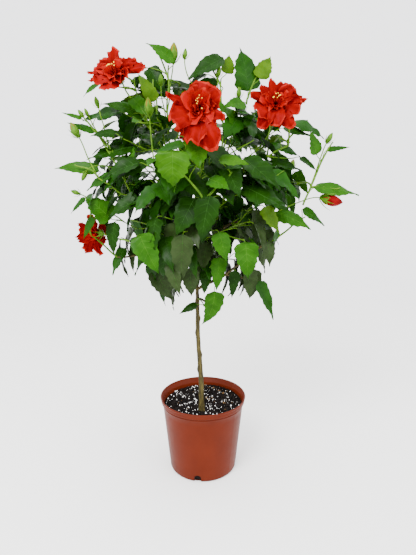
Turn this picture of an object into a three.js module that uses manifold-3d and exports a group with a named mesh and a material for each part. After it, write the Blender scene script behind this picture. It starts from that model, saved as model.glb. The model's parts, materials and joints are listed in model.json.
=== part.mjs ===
// A double red hibiscus grown as a short standard in a round nursery pot.
// Millimetres, +Z up. The origin is the middle of the pot's flat underside, and -Y is the plant's front.
// The pot, the soil, the trunk and its limbs are whole solids. The crown is a set of foliage masses,
// each one closed uneven solid that stands for a spray of leaves and bloom.
import * as THREE from 'three';
import { SimplexNoise } from 'three/addons/math/SimplexNoise.js';
import { mergeVertices } from 'three/addons/utils/BufferGeometryUtils.js';
import Module from 'manifold-3d';

const wasm = await Module();
wasm.setup();

// Pot
const POT_HEIGHT = 203;
const POT_SIDES = 36;
const RIM_RADIUS = 115;
const RIM_DEPTH = 15;
const RIM_LIP = 4;
const RIM_BEVEL = 1;
const BASE_RADIUS = 90;
const WALL = 2;
const NECK_RADIUS = 109;
const EDGE_ROUND = 5;
const DRAIN_COUNT = 4;
const DRAIN_WIDTH = 18;
const DRAIN_HEIGHT = 20;
const DRAIN_CUT = 21;
const DRAIN_ARCH_STEPS = 4;
const DRAIN_FIRST = THREE.MathUtils.degToRad(-99);

// Soil
const SOIL_LEVEL = 178;
const SOIL_SLOPE = new THREE.Vector2(0.0275, 0.033);
const SOIL_UNEVENNESS = 1.6;
const SOIL_WAVE = 25;
const SOIL_DIP = 8;
const SOIL_EASE = 1;
const SOIL_RINGS = 5;
const FOOT = new THREE.Vector2(-3, -45);
const GROUND = 172;
const FOOT_PAD = 16;
const FOOT_BANK_END = 35;
const FOOT_BANK = 2;

// Trunk: its axis from the ground to its tip, and its radii there, at the fork and under the flare
const TRUNK_AXIS = [[-3, -45, GROUND], [-4, -38, 235], [-9, -24, 320], [-14, -10, 410], [-13, 0, 490],
  [-22, 3, 560], [-31, 5, 640], [-35, 7, 705]].map((p) => new THREE.Vector3(...p));
const TRUNK_RADIUS = 6.6;
const TRUNK_TIP_RADIUS = 2.4;
const TRUNK_TAPER_POWER = 1.4;
const FLARE = 3.6;
const FLARE_HEIGHT = 16;
const TRUNK_SIDES = 12;
const TRUNK_STEPS = 14;

// Limbs: [name, height on the trunk or mass it leaves, mass it enters, rise at its middle, foot radius]
const LIMB_TAPER = 0.55;
const LIMB_SIDES = 6;
const LIMB_STEPS = 5;
const LIMBS = [
  ['bough_right_low', 497, 'lower_right', -16, 4.2],
  ['bough_back_right', 512, 'back_lower_right', 10, 3.8],
  ['bough_left_low', 524, 'front_left', -4, 3.8],
  ['bough_right', 540, 'right_heart', 10, 4.0],
  ['bough_lower_left', 552, 'lower_left', 14, 3.2],
  ['bough_back_left', 566, 'back_lower_left', 10, 3.6],
  ['bough_left', 582, 'left_side', 12, 3.6],
  ['bough_front', 598, 'middle', 8, 3.2],
  ['bough_back', 614, 'back_middle', 14, 3.4],
  ['bough_upper_right', 634, 'inner_upper_right', 18, 3.2],
  ['bough_upper_left', 660, 'inner_upper_left', 10, 2.8],
  ['shoot_right', 'right_leaf', 'right_shoot', -6, 2.0],
  ['shoot_top', 'inner_upper_right', 'top_right', 4, 1.8],
];

// Foliage masses: name, middle, half sizes along X, Y and Z
const MASSES = [
  ['top_left', [-85, 5, 1050], [35, 28, 47]],
  ['top_middle', [10, 10, 1035], [59, 34, 31]],
  ['top_right', [125, 20, 1025], [48, 34, 53]],
  ['bloom_upper_left', [-180, -50, 1010], [67, 45, 52]],
  ['bloom_upper_right', [170, -70, 930], [58, 46, 60]],
  ['bloom_middle', [-15, -150, 890], [62, 46, 70]],
  ['bloom_lower_left', [-260, -30, 640], [44, 36, 44]],
  ['upper_left', [-130, 30, 990], [61, 55, 54]],
  ['upper_middle', [-35, 75, 1005], [71, 60, 28]],
  ['upper_right', [250, 30, 915], [50, 40, 27]],
  ['left_buds', [-265, -20, 920], [52, 36, 40]],
  ['left_upper', [-200, 40, 930], [52, 50, 40]],
  ['left_tip', [-280, -30, 805], [69, 30, 29]],
  ['left_shoulder', [-210, 0, 855], [66, 50, 39]],
  ['left_side', [-175, -45, 780], [66, 54, 45]],
  ['left_leaf', [-250, -60, 710], [47, 36, 35]],
  ['lower_left', [-205, -15, 585], [43, 42, 40]],
  ['inner_upper_left', [-120, 20, 900], [56, 56, 56]],
  ['inner_upper_right', [95, 0, 900], [55, 56, 55]],
  ['middle_left', [-105, -85, 710], [67, 56, 53]],
  ['front_middle', [-50, -175, 795], [70, 44, 43]],
  ['front_left', [-125, -110, 615], [41, 44, 46]],
  ['front_right', [60, -130, 785], [43, 46, 43]],
  ['middle', [-10, -125, 705], [44, 46, 57]],
  ['skirt_left', [-100, -60, 530], [44, 44, 44]],
  ['skirt_middle', [-55, -115, 595], [41, 40, 64]],
  ['skirt_right', [100, -20, 530], [46, 44, 46]],
  ['lower_middle', [25, -60, 575], [41, 46, 63]],
  ['right_heart', [135, -55, 770], [68, 58, 63]],
  ['right_shoulder', [195, 20, 855], [57, 48, 35]],
  ['right_shoot', [300, -20, 855], [41, 30, 36]],
  ['right_tip', [315, -40, 750], [53, 28, 34]],
  ['right_leaf', [230, -40, 685], [65, 40, 29]],
  ['lower_right', [145, -65, 630], [50, 50, 55]],
  ['inner_lower_right', [85, 20, 675], [61, 58, 67]],
  ['low_right_leaf', [165, -20, 480], [28, 24, 46]],
  ['low_curled_leaf', [25, -40, 460], [25, 24, 45]],
  ['back_upper_left', [-162, 150, 900], [72, 66, 60]],
  ['back_upper_right', [150, 140, 900], [72, 74, 60]],
  ['back_left', [-222, 105, 775], [64, 76, 62]],
  ['back_middle', [-10, 232, 815], [84, 62, 74]],
  ['back_right', [220, 118, 765], [62, 76, 62]],
  ['back_lower_left', [-118, 150, 652], [70, 66, 58]],
  ['back_lower_right', [98, 160, 648], [72, 66, 58]],
].map(([name, middle, half]) => ({
  name,
  middle: new THREE.Vector3(...middle),
  half: new THREE.Vector3(...half),
}));
const MASS_UNEVENNESS = 0.26;
const LUMP_SIZE = 0.62;
const LUMP_SHIFT = 62;
const FINE_MASS = 54;
const GAP = 0.8;
const CLEARANCE = 0.4;
const SEED = 11;

// A repeatable stream of numbers from 0 to 1.
function seeded(seed) {
  let state = seed;
  return {
    random() {
      state = (state * 1664525 + 1013904223) % 4294967296;
      return state / 4294967296;
    },
  };
}
const noise = new SimplexNoise(seeded(SEED));

function solidOf(geometry) {
  const bare = geometry.clone();
  bare.deleteAttribute('normal');
  bare.deleteAttribute('uv');
  const merged = mergeVertices(bare, 1e-3);
  return new wasm.Manifold(new wasm.Mesh({
    numProp: 3,
    vertProperties: new Float32Array(merged.attributes.position.array),
    triVerts: new Uint32Array(merged.index.array),
  }));
}

function geometryOf(solid) {
  const mesh = solid.getMesh();
  const geometry = new THREE.BufferGeometry();
  geometry.setAttribute('position', new THREE.BufferAttribute(mesh.vertProperties, 3));
  geometry.setIndex(new THREE.BufferAttribute(mesh.triVerts, 1));
  geometry.computeVertexNormals();
  return geometry;
}

function largestPiece(solid) {
  const pieces = solid.decompose();
  return pieces.reduce((best, piece) => (piece.volume() > best.volume() ? piece : best));
}

// How far the middle of a quarter round lies inside its two tangents, as a share of its radius
const ROUND_INSET = 1 - Math.SQRT1_2;

// Pot: a wall of one thickness turned round Z, with a banded rim and arched drains at its foot.
function potGeometry() {
  const rimFoot = POT_HEIGHT - RIM_DEPTH;
  const floorEdge = BASE_RADIUS - WALL;
  const section = [
    [0, 0],
    [BASE_RADIUS - EDGE_ROUND, 0],
    [BASE_RADIUS - EDGE_ROUND * ROUND_INSET, EDGE_ROUND * ROUND_INSET],
    [BASE_RADIUS, EDGE_ROUND],
    [NECK_RADIUS, rimFoot],
    [RIM_RADIUS - RIM_BEVEL, rimFoot],
    [RIM_RADIUS, POT_HEIGHT - 2 * RIM_BEVEL],
    [RIM_RADIUS - RIM_BEVEL, POT_HEIGHT],
    [RIM_RADIUS - RIM_LIP, POT_HEIGHT],
    [RIM_RADIUS - RIM_LIP - RIM_BEVEL, rimFoot + WALL],
    [NECK_RADIUS - WALL, rimFoot - RIM_BEVEL],
    [floorEdge, EDGE_ROUND],
    [floorEdge - EDGE_ROUND, WALL],
    [0, WALL],
  ].map(([r, z]) => new THREE.Vector2(r, z));
  let pot = solidOf(new THREE.LatheGeometry(section, POT_SIDES).rotateX(Math.PI / 2));
  for (let i = 0; i < DRAIN_COUNT; i += 1) {
    pot = pot.subtract(drainCutter(DRAIN_FIRST + (i * 2 * Math.PI) / DRAIN_COUNT));
  }
  return geometryOf(pot);
}

// An arch-ended bar through the wall at one bearing, which also takes a bite of the floor's edge.
function drainCutter(bearing) {
  const half = DRAIN_WIDTH / 2;
  const arch = new THREE.Shape();
  arch.moveTo(-half, -WALL / 2);
  arch.lineTo(half, -WALL / 2);
  arch.lineTo(half, DRAIN_HEIGHT - half);
  arch.absarc(0, DRAIN_HEIGHT - half, half, 0, Math.PI, false);
  const bar = new THREE.ExtrudeGeometry(arch, {
    depth: DRAIN_CUT,
    bevelEnabled: false,
    curveSegments: DRAIN_ARCH_STEPS,
  });
  bar.rotateX(Math.PI / 2);
  bar.translate(0, DRAIN_CUT / 2, 0);
  bar.rotateZ(bearing - Math.PI / 2);
  bar.translate(Math.cos(bearing) * BASE_RADIUS, Math.sin(bearing) * BASE_RADIUS, 0);
  return solidOf(bar);
}

// The soil's top: a gentle slope with low waves, brought to a level pad round the trunk's foot.
function soilHeight(x, y) {
  const fromFoot = Math.hypot(x - FOOT.x, y - FOOT.y);
  const uneven = SOIL_UNEVENNESS * noise.noise(x / SOIL_WAVE, y / SOIL_WAVE);
  const open = SOIL_LEVEL + SOIL_SLOPE.x * x + SOIL_SLOPE.y * y + uneven;
  const away = THREE.MathUtils.smoothstep(fromFoot, FOOT_PAD, FOOT_BANK_END);
  return THREE.MathUtils.lerp(GROUND + FOOT_BANK, open, away);
}

// Soil: a plug that fills the pot to its uneven top, banked up a little round the trunk's flat foot.
function soilGeometry() {
  const rimFoot = POT_HEIGHT - RIM_DEPTH;
  const wallRadius = (z) => THREE.MathUtils.mapLinear(z, EDGE_ROUND, rimFoot, BASE_RADIUS, NECK_RADIUS);
  const fit = WALL + 2 * CLEARANCE;
  const bottom = WALL + CLEARANCE;
  const topRadius = wallRadius(SOIL_LEVEL - SOIL_DIP) - fit;
  const section = [[0, bottom], [BASE_RADIUS - WALL - EDGE_ROUND - SOIL_EASE, bottom]];
  section.push([wallRadius(EDGE_ROUND) - fit, EDGE_ROUND + SOIL_EASE]);
  for (let i = SOIL_RINGS; i >= 0; i -= 1) {
    section.push([(topRadius * i) / SOIL_RINGS, SOIL_LEVEL]);
  }
  const points = section.map(([r, z]) => new THREE.Vector2(r, z));
  const soil = new THREE.LatheGeometry(points, POT_SIDES).rotateX(Math.PI / 2);
  const place = soil.attributes.position;
  for (let i = 0; i < place.count; i += 1) {
    if (place.getZ(i) > SOIL_LEVEL - SOIL_DIP) {
      place.setZ(i, soilHeight(place.getX(i), place.getY(i)));
    }
  }
  const footprint = trunkSolid(CLEARANCE).translate([0, 0, -CLEARANCE]);
  return geometryOf(largestPiece(solidOf(soil).subtract(footprint)));
}

// A closed cylinder bent along a curve. Its rings are level where level is true, and square to the
// curve otherwise, and radiusAt gives the radius at each share of the length.
function bentCylinder(curve, sides, steps, radiusAt, level) {
  const tube = new THREE.CylinderGeometry(1, 1, 1, sides, steps);
  tube.rotateX(Math.PI / 2);
  const frames = curve.computeFrenetFrames(steps, false);
  const place = tube.attributes.position;
  for (let i = 0; i < place.count; i += 1) {
    const step = Math.round((place.getZ(i) + 0.5) * steps);
    const share = step / steps;
    const across = level ? new THREE.Vector3(1, 0, 0) : frames.normals[step];
    const along = level ? new THREE.Vector3(0, 1, 0) : frames.binormals[step];
    const point = curve.getPointAt(share);
    point.addScaledVector(across, place.getX(i) * radiusAt(share));
    point.addScaledVector(along, place.getY(i) * radiusAt(share));
    place.setXYZ(i, point.x, point.y, point.z);
  }
  return tube;
}

const trunkCurve = new THREE.CatmullRomCurve3(TRUNK_AXIS);
const trunkLength = trunkCurve.getLength();

// The trunk: thickest at its flared foot, thinning to its tip. extra swells it for cutting its neighbours.
function trunkSolid(extra) {
  const radiusAt = (share) => {
    const flare = FLARE * Math.exp((-share * trunkLength) / FLARE_HEIGHT);
    return THREE.MathUtils.lerp(TRUNK_RADIUS, TRUNK_TIP_RADIUS, share ** TRUNK_TAPER_POWER) + flare + extra;
  };
  return solidOf(bentCylinder(trunkCurve, TRUNK_SIDES, TRUNK_STEPS, radiusAt, true));
}

// How far an ellipsoid reaches from its middle in one direction.
function ellipsoidReach(mass, direction) {
  return 1 / direction.clone().divide(mass.half).length();
}

// Fences: between each mass and every near one stands a plane square to the line of their middles,
// shared out by their sizes, so no two masses overlap.
function fencesOf(mass) {
  const fences = [];
  for (const other of MASSES) {
    const normal = other.middle.clone().sub(mass.middle);
    const apart = normal.length();
    if (other !== mass) {
      normal.normalize();
      const own = ellipsoidReach(mass, normal);
      const share = own / (own + ellipsoidReach(other, normal));
      fences.push({ normal, distance: share * apart - GAP / 2 });
    }
  }
  return fences;
}

// A foliage mass: a ball of facets drawn out to an ellipsoid, made uneven by noise that grows with
// the facet's direction, and stopped at the fences. extra swells it for cutting its neighbours.
function massSolid(mass, extra) {
  const longest = Math.max(mass.half.x, mass.half.y, mass.half.z);
  const ball = new THREE.IcosahedronGeometry(1, longest > FINE_MASS ? 2 : 1);
  const fences = fencesOf(mass);
  const place = ball.attributes.position;
  const direction = new THREE.Vector3();
  for (let i = 0; i < place.count; i += 1) {
    direction.fromBufferAttribute(place, i).normalize();
    const lump = direction.clone().divideScalar(LUMP_SIZE).addScaledVector(mass.middle, 1 / LUMP_SHIFT);
    const uneven = 1 + MASS_UNEVENNESS * noise.noise3d(lump.x, lump.y, lump.z);
    let reach = ellipsoidReach(mass, direction) * uneven;
    for (const fence of fences) {
      const slope = direction.dot(fence.normal);
      if (slope > 0) {
        reach = Math.min(reach, fence.distance / slope);
      }
    }
    direction.multiplyScalar(reach + extra).add(mass.middle);
    place.setXYZ(i, direction.x, direction.y, direction.z);
  }
  return solidOf(ball);
}

// The trunk's axis at one height.
function trunkPointAt(height) {
  let low = 0;
  let high = 1;
  while (high - low > 1e-4) {
    const half = (low + high) / 2;
    if (trunkCurve.getPointAt(half).z < height) {
      low = half;
    } else {
      high = half;
    }
  }
  return trunkCurve.getPointAt(low);
}

const middleOf = (name) => MASSES.find((mass) => mass.name === name).middle;

const limbStart = (from) => (typeof from === 'number' ? trunkPointAt(from) : middleOf(from));

// A limb runs from its foot to the middle of the mass it enters, on one curve bowed up at its middle.
function limbSolid([, from, to, rise, foot], extra) {
  const start = limbStart(from);
  const end = middleOf(to);
  const bow = start.clone().lerp(end, 0.5);
  bow.z += 2 * rise;
  const curve = new THREE.QuadraticBezierCurve3(start, bow, end);
  const radiusAt = (share) => foot * THREE.MathUtils.lerp(1, LIMB_TAPER, share) + extra;
  return solidOf(bentCylinder(curve, LIMB_SIDES, LIMB_STEPS, radiusAt, false));
}

// The piece of a cut limb whose nearest corner is closest to where the limb starts.
function pieceAtFoot(solid, start) {
  const corner = new THREE.Vector3();
  const distanceTo = (piece) => {
    const { vertProperties } = piece.getMesh();
    let nearest = Infinity;
    for (let i = 0; i < vertProperties.length; i += 3) {
      nearest = Math.min(nearest, corner.fromArray(vertProperties, i).distanceTo(start));
    }
    return nearest;
  };
  const pieces = solid.decompose().map((piece) => ({ piece, distance: distanceTo(piece) }));
  return pieces.reduce((best, one) => (one.distance < best.distance ? one : best)).piece;
}

const materialOf = (color, roughness) => new THREE.MeshStandardMaterial({ color, roughness, metalness: 0 });
const MATERIALS = {
  pot: materialOf('#9e4a30', 0.45),
  soil: materialOf('#1d1a18', 0.95),
  bark: materialOf('#6f5f3c', 0.8),
  leaf: materialOf('#3c7a27', 0.5),
  bloom: materialOf('#dd2015', 0.55),
};

const group = new THREE.Group();
function addMesh(name, geometry, material) {
  const mesh = new THREE.Mesh(geometry, material);
  mesh.name = name;
  group.add(mesh);
}

addMesh('pot', potGeometry(), MATERIALS.pot);
addMesh('soil', soilGeometry(), MATERIALS.soil);
addMesh('trunk', geometryOf(trunkSolid(0)), MATERIALS.bark);

const trunkCutter = trunkSolid(CLEARANCE);
for (const mass of MASSES) {
  const solid = largestPiece(massSolid(mass, 0).subtract(trunkCutter));
  addMesh(mass.name, geometryOf(solid), mass.name.startsWith('bloom') ? MATERIALS.bloom : MATERIALS.leaf);
}

let taken = trunkCutter;
const massCutters = MASSES.map((mass) => massSolid(mass, CLEARANCE));
for (const limb of LIMBS) {
  let solid = limbSolid(limb, 0).subtract(taken);
  for (const cutter of massCutters) {
    solid = solid.subtract(cutter);
  }
  const [name, from] = limb;
  addMesh(name, geometryOf(pieceAtFoot(solid, limbStart(from))), MATERIALS.bark);
  taken = taken.add(limbSolid(limb, CLEARANCE));
}

export default group;
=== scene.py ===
"""A double red hibiscus grown as a short standard in a round nursery pot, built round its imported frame.

The trunk and boughs follow the frame's limbs. In each foliage mass a seeded rule grows a shoot, side
twigs, leaf stalks, leaves, buds and blooms, and every surface is worked out as whole arrays.
"""

import json
import math

import bpy
import numpy as np
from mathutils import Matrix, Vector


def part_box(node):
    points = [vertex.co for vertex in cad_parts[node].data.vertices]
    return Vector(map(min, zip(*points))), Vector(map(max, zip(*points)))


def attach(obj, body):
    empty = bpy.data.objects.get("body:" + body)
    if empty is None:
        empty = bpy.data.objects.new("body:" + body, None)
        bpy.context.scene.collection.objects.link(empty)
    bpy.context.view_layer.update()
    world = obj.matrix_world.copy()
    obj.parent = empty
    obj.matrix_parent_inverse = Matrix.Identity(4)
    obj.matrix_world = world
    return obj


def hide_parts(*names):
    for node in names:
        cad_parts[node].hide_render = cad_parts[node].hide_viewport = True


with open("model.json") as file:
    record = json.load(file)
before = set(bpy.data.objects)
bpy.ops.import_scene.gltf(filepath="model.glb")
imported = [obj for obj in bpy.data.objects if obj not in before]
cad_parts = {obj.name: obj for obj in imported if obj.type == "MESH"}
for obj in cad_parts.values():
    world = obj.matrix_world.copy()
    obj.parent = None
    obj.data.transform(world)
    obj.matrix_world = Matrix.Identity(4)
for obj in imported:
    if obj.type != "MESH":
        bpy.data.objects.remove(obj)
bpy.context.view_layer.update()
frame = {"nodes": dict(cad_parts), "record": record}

MM = 0.001
UP = np.array([0.0, 0.0, 1.0])
FRONT = np.array([0.0, -1.0, 0.0])
CROWN_SEED, BUD_SEED, GRAIN_SEED = 20, 77, 9
rng = np.random.default_rng(CROWN_SEED)


# ---------------------------------------------------------------- places read from the frame

SLOT_OF = {part["node"]: part["material_slot"] for part in frame["record"]["subparts"]}
MASSES = [node for node, slot in SLOT_OF.items() if slot in ("foliage", "bloom")]
BOUGHS = [node for node in SLOT_OF if node.startswith("bough")]
SHOOTS = [node for node in SLOT_OF if node.startswith("shoot")]


def box_of(node):
    """Middle and half sizes of a node's box, in metres."""
    low, high = (np.array(corner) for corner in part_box(node))
    return (low + high) / 2, (high - low) / 2


BOXES = {node: box_of(node) for node in SLOT_OF}


def place_in(node, share):
    """The point at that share of a node's half sizes from its middle."""
    middle, half = BOXES[node]
    return middle + half * np.array(share)


def corners_of(node):
    """Every different corner of a node, as (n, 3)."""
    mesh = frame["nodes"][node].data
    flat = np.empty(len(mesh.vertices) * 3, np.float32)
    mesh.vertices.foreach_get("co", flat)
    return np.unique(np.round(flat.reshape(-1, 3).astype(float), 5), axis=0)


def axis_of(node, stations):
    """A limb's centre line from foot to tip, and its radii: corners are weighed by how near they lie to
    each station along the line from the lowest corner to the highest, with a bell curve."""
    points = corners_of(node)
    foot, tip = points[np.argmin(points[:, 2])], points[np.argmax(points[:, 2])]
    along = unit(tip - foot)
    t = (points - foot) @ along
    spots = np.linspace(t.min(), t.max(), stations)
    weight = np.exp(-((t[None] - spots[:, None]) / (np.ptp(t) / (stations - 1)) * 1.3) ** 2)
    weight /= weight.sum(1, keepdims=True)
    centre = weight @ points
    centre += (spots - weight @ t)[:, None] * along
    away = points[None] - centre[:, None]
    away -= (away @ along)[..., None] * along
    return centre, (weight * np.linalg.norm(away, axis=-1)).sum(1)


# ---------------------------------------------------------------- arithmetic on whole arrays

def unit(v):
    """Vectors of length one along the last axis."""
    return v / np.maximum(np.linalg.norm(v, axis=-1, keepdims=True), 1e-12)


def dot(a, b):
    """Dot products along the last axis, which stays with length one."""
    return (a * b).sum(-1, keepdims=True)


def square_to(v, way):
    """The unit part of v that is square to the unit vector way."""
    return unit(v - dot(v, way) * way)


def bearing(azimuth, elevation):
    """The direction at an azimuth from +X towards +Y and an elevation above level, in degrees."""
    a, e = np.radians(azimuth), np.radians(elevation)
    return np.stack([np.cos(a) * np.cos(e), np.sin(a) * np.cos(e), np.sin(e) + 0 * a], -1)


def ripple(points, wavelength, seed, waves=7):
    """Smooth unevenness from about -1 to 1: the mean of a few sine waves of one length that cross the
    points in seeded directions, with seeded phases."""
    pick = np.random.default_rng(seed)
    ways = unit(pick.normal(size=(waves, 3))) * (2 * np.pi / wavelength)
    return np.sin(points @ ways.T + pick.uniform(0, 2 * np.pi, waves)).sum(-1) * (1.6 / waves)


def wander(path, apart, wavelength, seed):
    """Unevenness of each coordinate along a path: ripple read at places that far apart, in metres."""
    return ripple(path[:, None] + np.eye(3) * apart, wavelength, seed)


def resampled(path, values, stations):
    """A path and its values at evenly spaced stations along its length, joined by straight runs."""
    reach = np.concatenate([[0], np.cumsum(np.linalg.norm(np.diff(path, axis=0), axis=1))])
    spots = np.linspace(0, reach[-1], stations)
    even = np.stack([np.interp(spots, reach, path[:, k]) for k in range(3)], -1)
    return even, np.interp(spots, reach, values)


def bezier(start, leave, arrive, end, stations):
    """A cubic from start, setting out along leave, to end, coming in along arrive: four points
    weighted by the powers of t and 1 - t."""
    t = np.linspace(0, 1, stations)[:, None]
    return ((1 - t) ** 3 * start + 3 * t * (1 - t) ** 2 * (start + leave)
            + 3 * t * t * (1 - t) * (end - arrive) + t ** 3 * end)


def tubes(path, radius, sides):
    """Rings along paths: path + radius (cos a across + sin a other), a running once round. Path is
    (..., stations, 3), radius (..., stations) or (..., stations, sides), and across is the coordinate
    axis least like the path, made square to it."""
    tangent = unit(np.gradient(path, axis=-2))
    likeness = np.abs(tangent.mean(axis=-2, keepdims=True))
    across = square_to(np.eye(3)[np.argmin(likeness, axis=-1)], tangent)
    other = np.cross(tangent, across)
    a = np.linspace(0, 2 * np.pi, sides, endpoint=False)[:, None]
    ring = np.cos(a) * across[..., None, :] + np.sin(a) * other[..., None, :]
    if radius.ndim == path.ndim - 1:
        radius = radius[..., None]
    return path[..., None, :] + radius[..., None] * ring


# ---------------------------------------------------------------- arrays into meshes

def grid_faces(rows, cols, round_cols=False):
    """Quads of a grid stored row by row, closed across its columns where round_cols is true."""
    r = np.arange(rows - 1)[:, None] * cols
    c = np.arange(cols if round_cols else cols - 1)[None, :]
    n = (c + 1) % cols
    return np.stack([r + c, r + n, r + cols + n, r + cols + c], -1).reshape(-1, 4)


def sheets(points, round_cols=False, capped=False):
    """Grids (count, rows, cols, 3) as one point list and its faces, with both ends capped if asked."""
    count, rows, cols = points.shape[:3]
    first = (np.arange(count) * rows * cols)[:, None, None]
    faces = [(grid_faces(rows, cols, round_cols)[None] + first).reshape(-1, 4)]
    if capped:
        ring = np.arange(cols)[None]
        faces.append(ring[:, ::-1] + first[:, 0])
        faces.append(ring + first[:, 0] + (rows - 1) * cols)
    return points.reshape(-1, 3), faces


def joined(shapes):
    """Several (points, faces) pairs as one."""
    points, faces, first = [], [], 0
    for shape_points, shape_faces in shapes:
        points.append(shape_points)
        faces += [face + first for face in shape_faces]
        first += len(shape_points)
    return np.concatenate(points), faces


def add_piece(name, shape, material, replaced=(), smooth=True):
    """One mesh of the plant or its pot, at the origin, riding on the only body."""
    points, faces = shape
    mesh = bpy.data.meshes.new(name)
    mesh.from_pydata(points.tolist(), [], [corners for face in faces for corners in face.tolist()])
    mesh.polygons.foreach_set("use_smooth", np.full(len(mesh.polygons), smooth))
    mesh.materials.append(material)
    piece = bpy.data.objects.new(name, mesh)
    bpy.context.scene.collection.objects.link(piece)
    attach(piece, "root")
    if replaced:
        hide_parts(*replaced)


# ---------------------------------------------------------------- materials

def linear(hex_colour):
    """An sRGB hex colour as linear values: each channel is ((c + 0.055) / 1.055) to the power 2.4."""
    c = np.array([int(hex_colour[i:i + 2], 16) for i in (1, 3, 5)]) / 255
    return (*np.where(c <= 0.04045, c / 12.92, ((c + 0.055) / 1.055) ** 2.4), 1.0)


def per_metre(size_mm):
    """The scale that gives a pattern on Object coordinates features of that size."""
    return 1.0 / (size_mm * MM)


def add_node(tree, kind, stops=(), out="", operation="", **inputs):
    """Adds one shader node and gives its first output, or the one named. Each input socket, named with
    _ for a space, takes a value or another node's output. Stops are a ramp's (place, colour) pairs."""
    made = tree.nodes.new("ShaderNode" + kind)
    if operation:
        made.operation = operation
    for name, value in inputs.items():
        socket = made.inputs[name.replace("_", " ")]
        if isinstance(value, bpy.types.NodeSocket):
            tree.links.new(value, socket)
        else:
            socket.default_value = value
    for place, colour in stops[2:]:
        made.color_ramp.elements.new(place)
    for element, (place, colour) in zip(made.color_ramp.elements if stops else (), stops):
        element.position = place
        element.color = linear(colour)
    return made.outputs[out or 0] if made.outputs else None


def empty_material(name):
    """A material with no nodes yet, its node tree, and its Object coordinates."""
    material = bpy.data.materials.new(name)
    material.use_nodes = True
    tree = material.node_tree
    tree.nodes.clear()
    return material, tree, add_node(tree, "TexCoord", out="Object")


def finish_with(tree, **shader):
    """Ends a material with a Principled shader that has these inputs."""
    add_node(tree, "OutputMaterial", Surface=add_node(tree, "BsdfPrincipled", **shader))


def moulded_polypropylene():
    """Terracotta-coloured polypropylene, injection moulded: an even satin skin that clouds a little
    where it has been handled."""
    material, tree, place = empty_material("terracotta_polypropylene_moulded")
    cloud = add_node(tree, "TexNoise", Vector=place, Scale=per_metre(60), Detail=3.0)
    scuff = add_node(tree, "TexNoise", Vector=place, Scale=per_metre(14), Detail=6.0, Roughness=0.6)
    grain = add_node(tree, "TexNoise", Vector=place, Scale=per_metre(1.2), Detail=2.0)
    finish_with(
        tree,
        Base_Color=add_node(tree, "ValToRGB", ((0.3, "#4b1605"), (0.7, "#531a07")), Fac=cloud),
        Roughness=add_node(tree, "MapRange", Value=scuff, To_Min=0.30, To_Max=0.52),
        Normal=add_node(tree, "Bump", Height=grain, Distance=0.05 * MM, Strength=0.4),
        IOR=1.49, Specular_IOR_Level=0.07)
    return material


def loose_grains(name, stops, size_mm, grain_mm, depth_mm, roughness, ior):
    """Matt loose matter: each grain takes its own colour from a field wider than a grain, and a finer
    field pits its face."""
    material, tree, place = empty_material(name)
    tone = add_node(tree, "TexNoise", Vector=place, Scale=per_metre(size_mm), Detail=3.0)
    pits = add_node(tree, "TexNoise", Vector=place, Scale=per_metre(grain_mm), Detail=4.0)
    finish_with(
        tree,
        Base_Color=add_node(tree, "ValToRGB", stops, Fac=tone),
        Normal=add_node(tree, "Bump", Height=pits, Distance=depth_mm * MM),
        Roughness=roughness,
        IOR=ior, Specular_IOR_Level=0.1)
    return material


def hibiscus_bark():
    """Thin hibiscus bark, grown: olive brown and nearly smooth, streaked along the stem, with paler
    grey bloom in patches and fine corky dots."""
    material, tree, place = empty_material("hibiscus_bark_grown")
    drawn = add_node(tree, "Mapping", Vector=place, Scale=(1.0, 1.0, 0.16))
    streak = add_node(tree, "TexNoise", Vector=drawn, Scale=per_metre(4.5), Detail=5.0, Roughness=0.6)
    cork = add_node(tree, "TexNoise", Vector=drawn, Scale=per_metre(1.1), Detail=4.0, Roughness=0.6)
    tones = ((0.3, "#191505"), (0.45, "#2c260a"), (0.58, "#413812"), (0.74, "#5c522a"))
    finish_with(
        tree,
        Base_Color=add_node(tree, "ValToRGB", tones, Fac=streak),
        Roughness=add_node(tree, "MapRange", Value=cork, To_Min=0.55, To_Max=0.85),
        Normal=add_node(tree, "Bump", Height=cork, Distance=0.35 * MM),
        IOR=1.45, Specular_IOR_Level=0.25)
    return material


def living_skin(name, low, high, gloss, cloud_mm=22.0, grain_mm=1.6, depth_mm=0.12, **shader):
    """Living plant skin: two near tones that cloud into each other over a couple of centimetres, a
    waxed gloss that varies with them, and a fine leathery grain."""
    material, tree, place = empty_material(name)
    cloud = add_node(tree, "TexNoise", Vector=place, Scale=per_metre(cloud_mm), Detail=3.0)
    grain = add_node(tree, "TexNoise", Vector=place, Scale=per_metre(grain_mm), Detail=2.0)
    finish_with(
        tree,
        Base_Color=add_node(tree, "ValToRGB", ((0.35, low), (0.65, high)), Fac=cloud),
        Roughness=add_node(tree, "MapRange", Value=cloud, To_Min=gloss - 0.08, To_Max=gloss + 0.1),
        Normal=add_node(tree, "Bump", Height=grain, Distance=depth_mm * MM, Strength=0.7),
        **shader)
    return material


def petal_skin(name, low, high):
    """Hibiscus petal, unfolded from a tight bud: papery and velvety, creped all over, so that it hardly
    shines and keeps its full red."""
    return living_skin(name, low, high, 0.5, 12.0, 2.0, 0.25, IOR=1.38, Specular_IOR_Level=0.05)


def seamless_paper(air_colour, air_strength):
    """The studio floor: pale seamless paper, matt, that passes into the colour of the air round it over
    the metres beyond the pot, so that no edge shows."""
    material, tree, place = empty_material("seamless_paper_pale")
    reach = add_node(tree, "VectorMath", operation="LENGTH", out="Value", Vector=place)
    away = add_node(tree, "MapRange", Value=reach, From_Min=0.9, From_Max=3.6)
    fade = add_node(tree, "MapRange", Value=away, To_Max=air_strength)
    finish_with(
        tree,
        Base_Color=add_node(tree, "ValToRGB", ((0.0, "#f4f4f2"), (1.0, "#000000")), Fac=away),
        Emission_Color=linear(air_colour),
        Emission_Strength=fade,
        Specular_IOR_Level=0.0,
        Roughness=0.9)
    return material


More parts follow.
